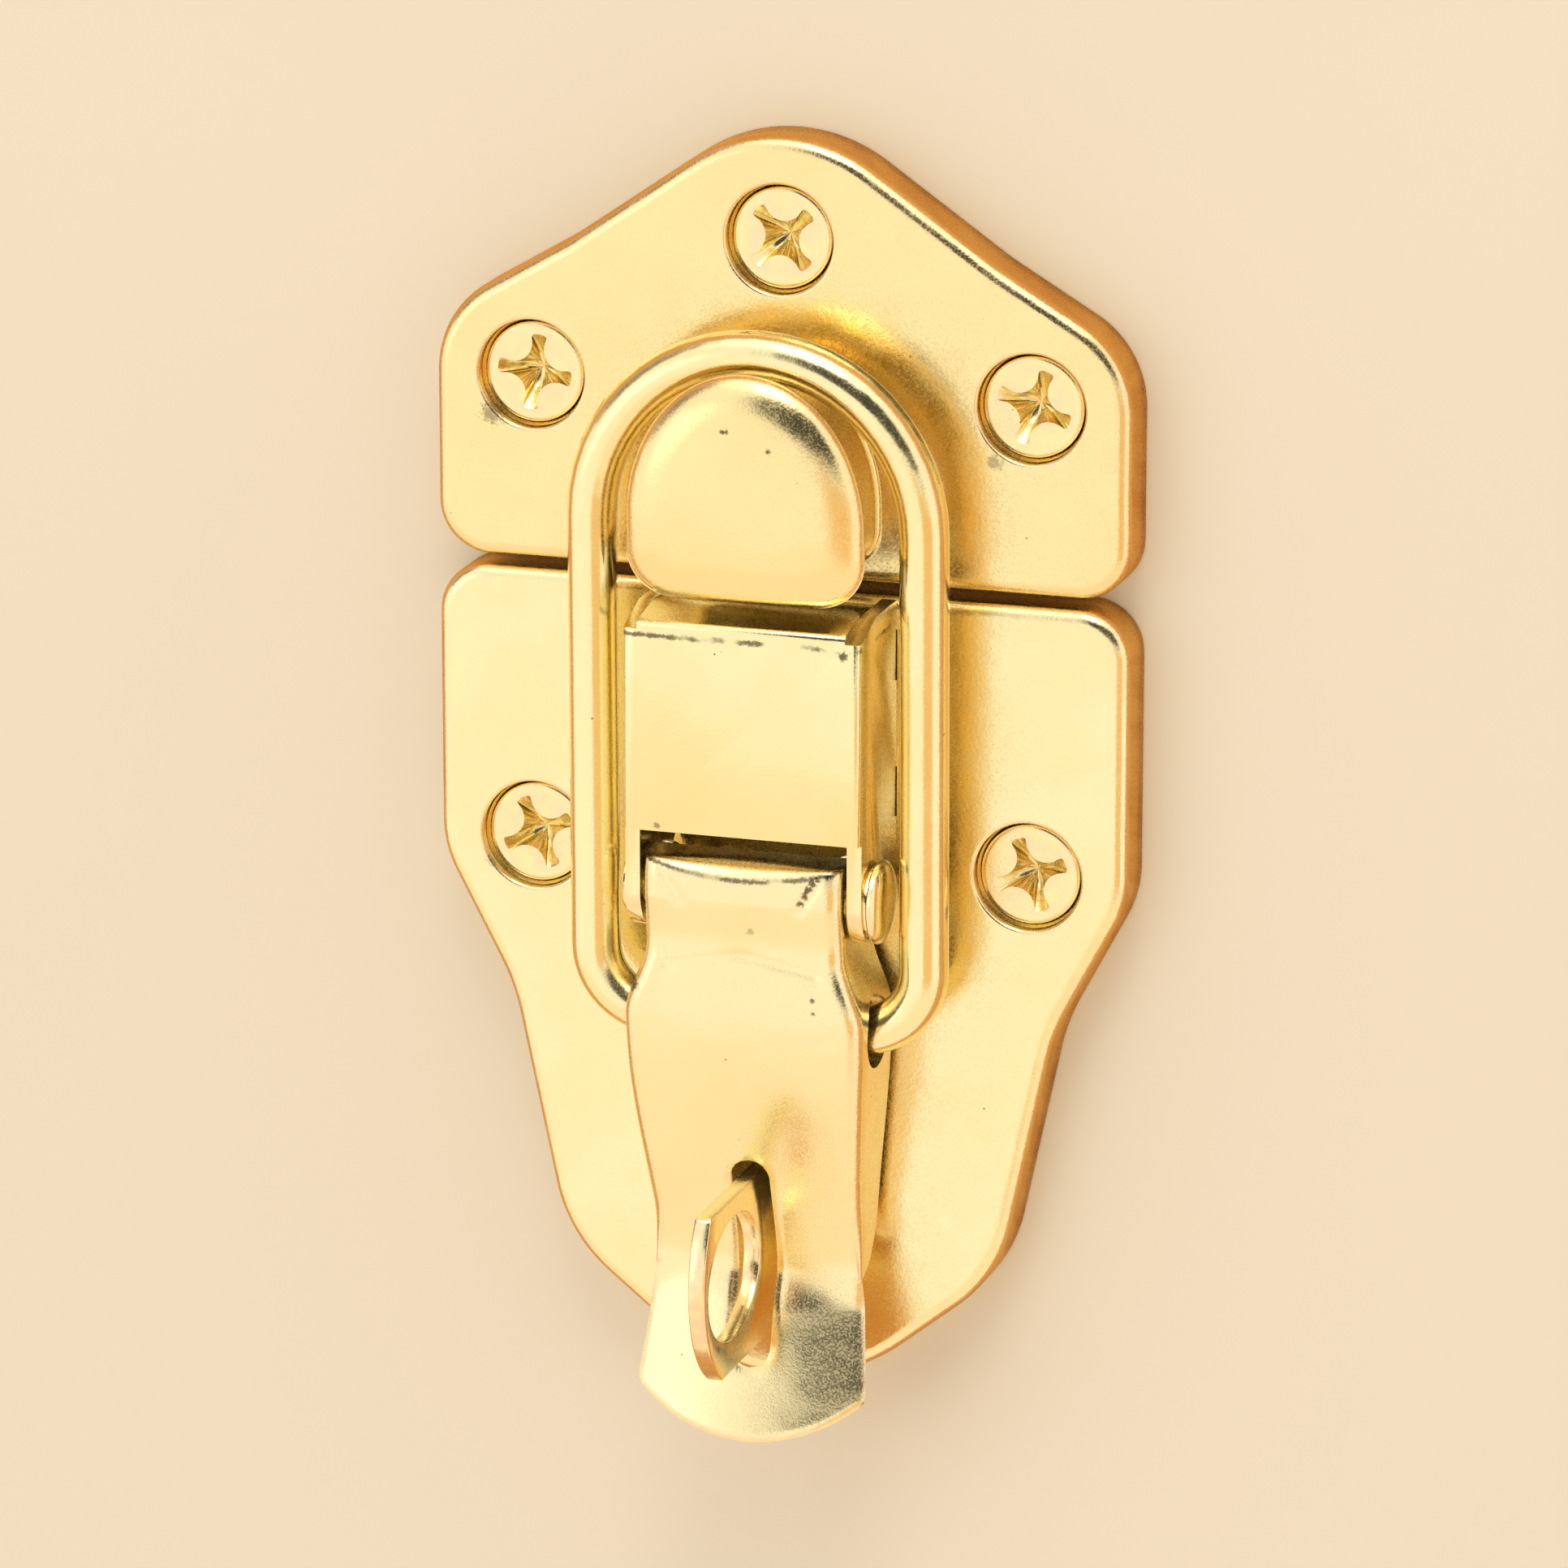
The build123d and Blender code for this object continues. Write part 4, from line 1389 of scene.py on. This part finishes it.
# Each tree ends in one real mesh with its finish
def endTree(nodes, shape, material):
    real = nodes.add("GeometryNodeRealizeInstances", {"Geometry": shape})
    painted = {"Geometry": real.outputs[0], "Material": material}
    nodes.add("NodeGroupOutput", {0: nodes.add("GeometryNodeSetMaterial", painted).outputs[0]})


wireInputs = [
    ("Wire Radius", "NodeSocketFloat", 1.0 * mm, 0.0),
    ("Steps", "NodeSocketInt", 200, 8),
    ("Around", "NodeSocketInt", 24, 6),
    ("Unevenness", "NodeSocketFloat", 0.01, 0.0),
]


# Geometry nodes: a round wire along a line, a touch uneven in thickness
def wireTree(material):
    tree, nodes, inputs = newTree("wireAlongLine", wireInputs)
    path = {"Curve": inputs["Geometry"], "Count": inputs["Steps"]}
    steps = nodes.add("GeometryNodeResampleCurve", path)
    place = nodes.add("GeometryNodeInputPosition").outputs[0]
    noise = nodes.add("ShaderNodeTexNoise", {"Vector": place, "Scale": 160.0, "Detail": 2.0})
    swing = nodes.maths("SUBTRACT", noise.outputs["Fac"], 0.5)
    thick = nodes.maths("MULTIPLY_ADD", swing, inputs["Unevenness"], 1.0)
    circle = {"Resolution": inputs["Around"], "Radius": inputs["Wire Radius"]}
    ring = nodes.add("GeometryNodeCurvePrimitiveCircle", circle)
    swept = {"Curve": steps.outputs[0], "Profile Curve": ring.outputs["Curve"], "Scale": thick}
    sweep = nodes.add("GeometryNodeCurveToMesh", swept)
    smooth = nodes.add("GeometryNodeSetShadeSmooth", {"Geometry": sweep.outputs[0]})
    endTree(nodes, smooth.outputs[0], material)
    return tree


def growWith(piece, tree, values, name):
    grower = piece.modifiers.new("grow", "NODES")
    grower.node_group = tree
    for item in tree.interface.items_tree:
        if item.item_type == "SOCKET" and item.in_out == "INPUT" and item.name in values:
            grower[item.identifier] = values[item.name]
    mesh = plainMesh(piece)
    mesh.name = name
    piece.modifiers.remove(grower)
    bpy.data.objects.remove(piece)
    return addObject(name, mesh)


bailValues = {
    "Wire Radius": bailSizes["wire"] * mm,
    "Steps": bailSizes["steps"],
    "Around": bailSizes["around"],
    "Unevenness": bailSizes["unevenness"],
}
wireLine = wireTree(finishes["bail"])
dress(growWith(bailLoop(), wireLine, bailValues, "wireBailDressed"), "bail", "bail", "bail")
print("stage 7: bail ready")

screwSizes = {
    "headOut": 3.0,  # top of the head, from the wall
    # (radius, place along the screw) from the top of the head down the neck
    "head": [
        (2.72, 0.0),
        (2.80, 0.0),
        (2.93, -0.02),
        (3.02, -0.08),
        (3.05, -0.17),
        (3.04, -0.25),
        (2.98, -0.32),
        (1.42, -1.88),
        (1.32, -2.05),
        (1.3, -2.2),
        (1.3, -3.2),
    ],
    "smooth": 34,
    "count": 72,
    "crossWidth": 0.88,
    "crossReach": 2.25,
    "crossWeb": 1.0,  # from the middle to the rounded web between two wings
    "crossDepth": 1.45,
    "threadStart": 3.4,  # under the head's top
    "length": 13.0,
    "pitch": 1.25,
    "rootRadius": 1.08,
    "threadRadius": 1.5,
    "tip": 3.4,
}


# Cross recess at a share of its depth, against the clock, with rounded webs between its wings
def crossOutline(share):
    size = screwSizes
    shrink = 1 - 0.58 * share
    reach = size["crossReach"] * shrink
    half = size["crossWidth"] / 2 * (1 - 0.4 * share)
    web = size["crossWeb"] * shrink
    wing = [(reach - 0.12, -half), (reach - 0.03, -half * 0.72), (reach, -half * 0.3)]
    wing += [(x, -y) for x, y in reversed(wing)]
    # The web is an arc that bends towards the middle
    start, end = Vector((reach - 0.3, half * 1.02)), Vector((half * 1.02, reach - 0.3))
    middle = Vector((web, web)) * 0.5**0.5
    wing += [tuple(point) for point in arcThrough(start, middle, end, 8)[:-1]]
    points = []
    for turn in range(4):
        c, s = math.cos(math.pi / 2 * turn), math.sin(math.pi / 2 * turn)
        points += [Vector((x * c - y * s, x * s + y * c)) for x, y in wing]
    return points


# One screw's head, neck and core, its top at the origin and its point down Z
def screwBlank():
    size = screwSizes
    bm = bmesh.new()

    def ring(outline, z):
        return [bm.verts.new((p.x * mm, p.y * mm, z * mm)) for p in outline]

    root, tip, length = size["rootRadius"], size["tip"], size["length"]
    profile = size["head"] + [
        (root, -3.6),
        (root, -(length - tip)),
        (root * 0.72, -(length - tip * 0.6)),
        (root * 0.3, -(length - tip * 0.2)),
        (0.05, -(length - 0.03)),
    ]
    rings = [ring(circleOutline(0, 0, radius, size["count"]), z) for radius, z in profile]
    skin(bm, rings)
    fan(bm, rings[-1], bm.verts.new((0, 0, -length * mm)))
    walls = [ring(crossOutline(-0.04), 0.0)]
    depths = [(0.0, -0.05), (0.33, -0.5), (0.67, -1.0), (1.0, -size["crossDepth"])]
    walls += [ring(crossOutline(share), z) for share, z in depths]
    skin(bm, walls)
    fan(bm, walls[-1], bm.verts.new((0, 0, -(size["crossDepth"] + 0.25) * mm)))
    fillFlat(bm, [rings[0], walls[0]])
    piece = finishMesh(bm, "screwBlank")
    smoothByAngle(piece, size["smooth"])
    return piece


threadInputs = [
    ("Blank", "NodeSocketObject", None, None),
    ("Thread Radius", "NodeSocketFloat", 1.5 * mm, 0.0),
    ("Root Radius", "NodeSocketFloat", 1.1 * mm, 0.0),
    ("Thread Length", "NodeSocketFloat", 6.0 * mm, 0.0),
    ("Tip Length", "NodeSocketFloat", 3.0 * mm, 0.0),
    ("Thread Start", "NodeSocketFloat", 3.4 * mm, 0.0),
    ("Turns", "NodeSocketFloat", 5.0, 0.0),
    ("Tip Turns", "NodeSocketFloat", 2.5, 0.0),
]


# Geometry nodes: a thread is wound on the blank, and a screw set at each point
def screwTree(material):
    tree, nodes, inputs = newTree("threadedScrews", threadInputs)
    ridge = nodes.maths("SUBTRACT", inputs["Thread Radius"], inputs["Root Radius"])
    middle = nodes.maths("SUBTRACT", inputs["Thread Radius"], ridge)
    profile = nodes.add("GeometryNodeCurvePrimitiveCircle", {"Resolution": 3, "Radius": ridge})
    low = nodes.maths("ADD", inputs["Thread Start"], inputs["Thread Length"])
    lowest = nodes.maths("ADD", low, inputs["Tip Length"])
    join = nodes.add("GeometryNodeJoinGeometry")
    # The straight thread, then the one that narrows to the point
    spirals = [
        ("Turns", "Thread Length", middle, low),
        ("Tip Turns", "Tip Length", nodes.maths("MULTIPLY", middle, 0.15), lowest),
    ]
    for turns, height, start, drop in spirals:
        shape = {"Resolution": 28, "Rotations": inputs[turns], "Height": inputs[height]}
        shape.update({"Start Radius": start, "End Radius": middle, "Reverse": False})
        spiral = nodes.add("GeometryNodeCurveSpiral", shape).outputs[0]
        swept = {"Curve": spiral, "Profile Curve": profile.outputs["Curve"], "Fill Caps": True}
        sweep = nodes.add("GeometryNodeCurveToMesh", swept).outputs[0]
        spot = nodes.add("ShaderNodeCombineXYZ", {"Z": nodes.maths("MULTIPLY", drop, -1.0)})
        moved = {"Geometry": sweep, "Translation": spot.outputs[0]}
        placed = nodes.add("GeometryNodeTransform", moved)
        tree.links.new(placed.outputs[0], join.inputs[0])
    blank = nodes.add("GeometryNodeObjectInfo", {"Object": inputs["Blank"]})
    tree.links.new(blank.outputs["Geometry"], join.inputs[0])
    spin = nodes.add("GeometryNodeInputNamedAttribute", {"Name": "spin"}, data_type="FLOAT_VECTOR")
    turn = nodes.add("FunctionNodeEulerToRotation", {"Euler": spin.outputs["Attribute"]})
    placing = {"Points": inputs["Geometry"], "Rotation": turn.outputs[0]}
    copies = nodes.add("GeometryNodeInstanceOnPoints", {**placing, "Instance": join.outputs[0]})
    endTree(nodes, copies.outputs[0], material)
    return tree


def screwPoints():
    mesh = bpy.data.meshes.new("screwPoints")
    spots = [at(across, screwSizes["headOut"], up) for across, up, _ in screwPlaces.values()]
    mesh.from_pydata([tuple(spot) for spot in spots], [], [])
    spin = mesh.attributes.new("spin", "FLOAT_VECTOR", "POINT")
    for index, (_, _, turn) in enumerate(screwPlaces.values()):
        spin.data[index].vector = (math.pi / 2, -math.radians(turn), 0)
    return addObject("screwPoints", mesh)


blank = screwBlank()
threadLength = screwSizes["length"] - screwSizes["tip"] - screwSizes["threadStart"]
screwValues = {
    "Blank": blank,
    "Thread Radius": screwSizes["threadRadius"] * mm,
    "Root Radius": screwSizes["rootRadius"] * mm,
    "Thread Length": threadLength * mm,
    "Tip Length": screwSizes["tip"] * mm * 0.95,
    "Thread Start": screwSizes["threadStart"] * mm,
    "Turns": threadLength / screwSizes["pitch"],
    "Tip Turns": screwSizes["tip"] / screwSizes["pitch"],
}
threads = screwTree(finishes["screws"])
screwsDressed = growWith(screwPoints(), threads, screwValues, "woodScrewsDressed")
bpy.data.objects.remove(blank)
dress(screwsDressed, "mounted", "screws", *screwPlaces)
print("stage 8: screws ready")

stageLook = {
    "wall": (0.87, 0.755, 0.592, 1),  # as the camera sees it
    "mirrored": (0.72, 0.385, 0.125, 1),  # as the metal sees it
    "mirroredDark": (0.60, 0.28, 0.08, 1),
    "wallOut": 0.03,  # mm behind the skirts, so that no faces share a plane
    "wallHalf": 2.0,  # m
    "sky": 1.117,
    "skyColour": (1.0, 0.985, 0.95, 1),
    "floorColour": (1.0, 0.865, 0.70, 1),
    "backdrop": (0.93, 0.915, 0.89, 1),  # as the camera sees it
    "warmColour": (0.86, 0.56, 0.26, 1),
    "warm": (34.0, -13.0, 22.0, 12.0),  # place and size, as in the patches
    "floorTop": -19.0,  # degrees, where the warm light from below starts
    "floorFull": -30.0,
    # patches round the object: azimuth, elevation, half width, half height in degrees, level
    "patches": [
        (-44.0, 8.0, 17.0, 14.0, 1.58),
        (-84.0, 34.0, 17.0, 24.0, 0.3),
        (21.0, 25.0, 33.0, 19.0, 0.06),
    ],
    "squareness": 4.0,
    "ragged": 0.24,  # how uneven the patches' borders are
    "overhead": (42.0, 60.0, 0.4),  # extra light: elevations where it starts and is full, level
}


def wallFinish():
    material = bpy.data.materials.new("pale wall")
    nodes = freshNodes(material)
    place = nodes.add("ShaderNodeTexCoord").outputs["Object"]
    tone = nodes.noise(place, 60.0, 3)
    darker = tuple(value * 0.97 for value in stageLook["wall"][:3]) + (1,)
    pale = nodes.mix(tone, stageLook["wall"], darker)
    # The metal mirrors a warmer and darker tone than the pale one that the camera sees
    along = nodes.add("ShaderNodeMapping", {"Vector": place, "Scale": (0.12, 1, 1)}).outputs[0]
    streaks = nodes.ramp(nodes.noise(along, 2.2, 4, 0.6), 0.4, 0.65)
    warm = nodes.mix(streaks, stageLook["mirrored"], stageLook["mirroredDark"])
    light = nodes.add("ShaderNodeLightPath")
    colour = nodes.mix(light.outputs["Is Camera Ray"], warm, pale)
    paint = nodes.add("ShaderNodeBsdfPrincipled", {"Base Color": colour, "Roughness": 0.75})
    clear = nodes.add("ShaderNodeBsdfTransparent")
    # Views from behind look through the wall, and it then leaves the light alone as well
    behind = nodes.add("ShaderNodeNewGeometry").outputs["Backfacing"]
    passed = light.outputs["Transparent Depth"]
    gone = nodes.maths("MAXIMUM", behind, nodes.maths("GREATER_THAN", passed, 0.5))
    seen = nodes.add("ShaderNodeMixShader", {0: gone, 1: paint.outputs[0], 2: clear.outputs[0]})
    nodes.add("ShaderNodeOutputMaterial", {0: seen.outputs[0]})
    return material


def wall():
    half = stageLook["wallHalf"]
    mesh = bpy.data.meshes.new("wallPanel")
    corners = [(-half, 0, -half), (half, 0, -half), (half, 0, half), (-half, 0, half)]
    mesh.from_pydata(corners, [], [(0, 1, 2, 3)])
    mesh.materials.append(wallFinish())
    piece = addObject("wallPanel", mesh)
    piece.location.y = stageLook["wallOut"] * mm


wall()


# Studio around the object: pale all round, dark behind the camera, bright and dim on the left,
# and warm low on the right and from below
def studio():
    world = bpy.data.worlds.new("studio")
    scene.world = world
    nodes = freshNodes(world)
    way = nodes.add("ShaderNodeTexCoord").outputs["Generated"]
    parts = nodes.add("ShaderNodeSeparateXYZ", {0: way}).outputs
    azimuth = nodes.maths("ARCTAN2", parts[0], nodes.maths("MULTIPLY", parts[1], -1.0))
    elevation = nodes.maths("ARCSINE", parts[2])
    uneven = nodes.add("ShaderNodeTexNoise", {"Vector": way, "Scale": 5.0, "Detail": 2.0})
    wobble = uneven.outputs["Fac"]
    level = stageLook["sky"]
    ragged, power = stageLook["ragged"], stageLook["squareness"]
    border = nodes.maths("MULTIPLY_ADD", wobble, ragged, -ragged / 2)

    # Rounded rectangle with an uneven border, 1 inside and 0 outside
    def insidePatch(patchAzimuth, patchElevation, wide, tall):
        total = 0.0
        sides = ((azimuth, patchAzimuth, wide), (elevation, patchElevation, tall))
        for angle, middle, half in sides:
            away = nodes.maths("SUBTRACT", angle, math.radians(middle))
            share = nodes.maths("ABSOLUTE", nodes.maths("DIVIDE", away, math.radians(half)))
            total = nodes.maths("ADD", nodes.maths("POWER", share, power), total)
        away = nodes.maths("ADD", nodes.maths("POWER", total, 1 / power), border)
        return nodes.ramp(away, 0.9, 1.04, 1.0, 0.0)

    for *patch, value in stageLook["patches"]:
        inside = insidePatch(*patch)
        kept = nodes.maths("MULTIPLY", level, nodes.maths("SUBTRACT", 1.0, inside))
        level = nodes.maths("MULTIPLY_ADD", inside, value, kept)
    low, high, extra = stageLook["overhead"]
    overhead = nodes.ramp(elevation, math.radians(low), math.radians(high), 0.0, extra)
    level = nodes.maths("ADD", level, overhead)
    top, full = math.radians(stageLook["floorTop"]), math.radians(stageLook["floorFull"])
    warm = nodes.ramp(elevation, full, top, 1.0, 0.0)
    tint = nodes.mix(warm, stageLook["skyColour"], stageLook["floorColour"])
    tint = nodes.mix(insidePatch(*stageLook["warm"]), tint, stageLook["warmColour"])
    camera = nodes.add("ShaderNodeLightPath").outputs["Is Camera Ray"]
    room = nodes.add("ShaderNodeBackground", {"Color": tint, "Strength": level})
    plain = nodes.add("ShaderNodeBackground", {"Color": stageLook["backdrop"], "Strength": 1.0})
    seen = nodes.add("ShaderNodeMixShader", {0: camera, 1: room.outputs[0], 2: plain.outputs[0]})
    nodes.add("ShaderNodeOutputWorld", {0: seen.outputs[0]})


studio()

lampLook = {
    "place": (0.10, -0.42, 0.85),  # m
    "aim": (0, 0, -0.012),
    "size": 0.36,
    "watts": 1.68,
    "colour": (1.0, 0.98, 0.95),
}


def hangLamp(name):
    look = lampLook
    lamp = bpy.data.lights.new(name, "AREA")
    lamp.shape = "SQUARE"
    lamp.size = look["size"]
    lamp.energy = look["watts"]
    lamp.color = look["colour"]
    holder = addObject(name, lamp)
    holder.location = look["place"]
    way = Vector(look["aim"]) - Vector(look["place"])
    holder.rotation_euler = way.to_track_quat("-Z", "Y").to_euler()


hangLamp("softbox above")

cameraLook = {
    "azimuth": 17.5,
    "elevation": 15.7,
    "distance": 520.0,
    "target": (0.33, -3.7, -12.3),
    "width": 93.3,  # mm across the frame at the target
    "sensor": 36,
}


def aimCamera():
    size = cameraLook
    azimuth, elevation = math.radians(size["azimuth"]), math.radians(size["elevation"])
    level = math.cos(elevation)
    way = Vector((math.sin(azimuth) * level, -math.cos(azimuth) * level, math.sin(elevation)))
    lens = bpy.data.cameras.new("camera")
    lens.sensor_width = size["sensor"]
    lens.lens = size["sensor"] * size["distance"] / size["width"]
    lens.clip_start = 0.01
    holder = addObject("camera", lens)
    holder.location = Vector(size["target"]) * mm + way * size["distance"] * mm
    holder.rotation_euler = (-way).to_track_quat("-Z", "Y").to_euler()
    scene.camera = holder


aimCamera()
scene.view_settings.view_transform = "Standard"
print("stage 9: wall, light and camera ready")
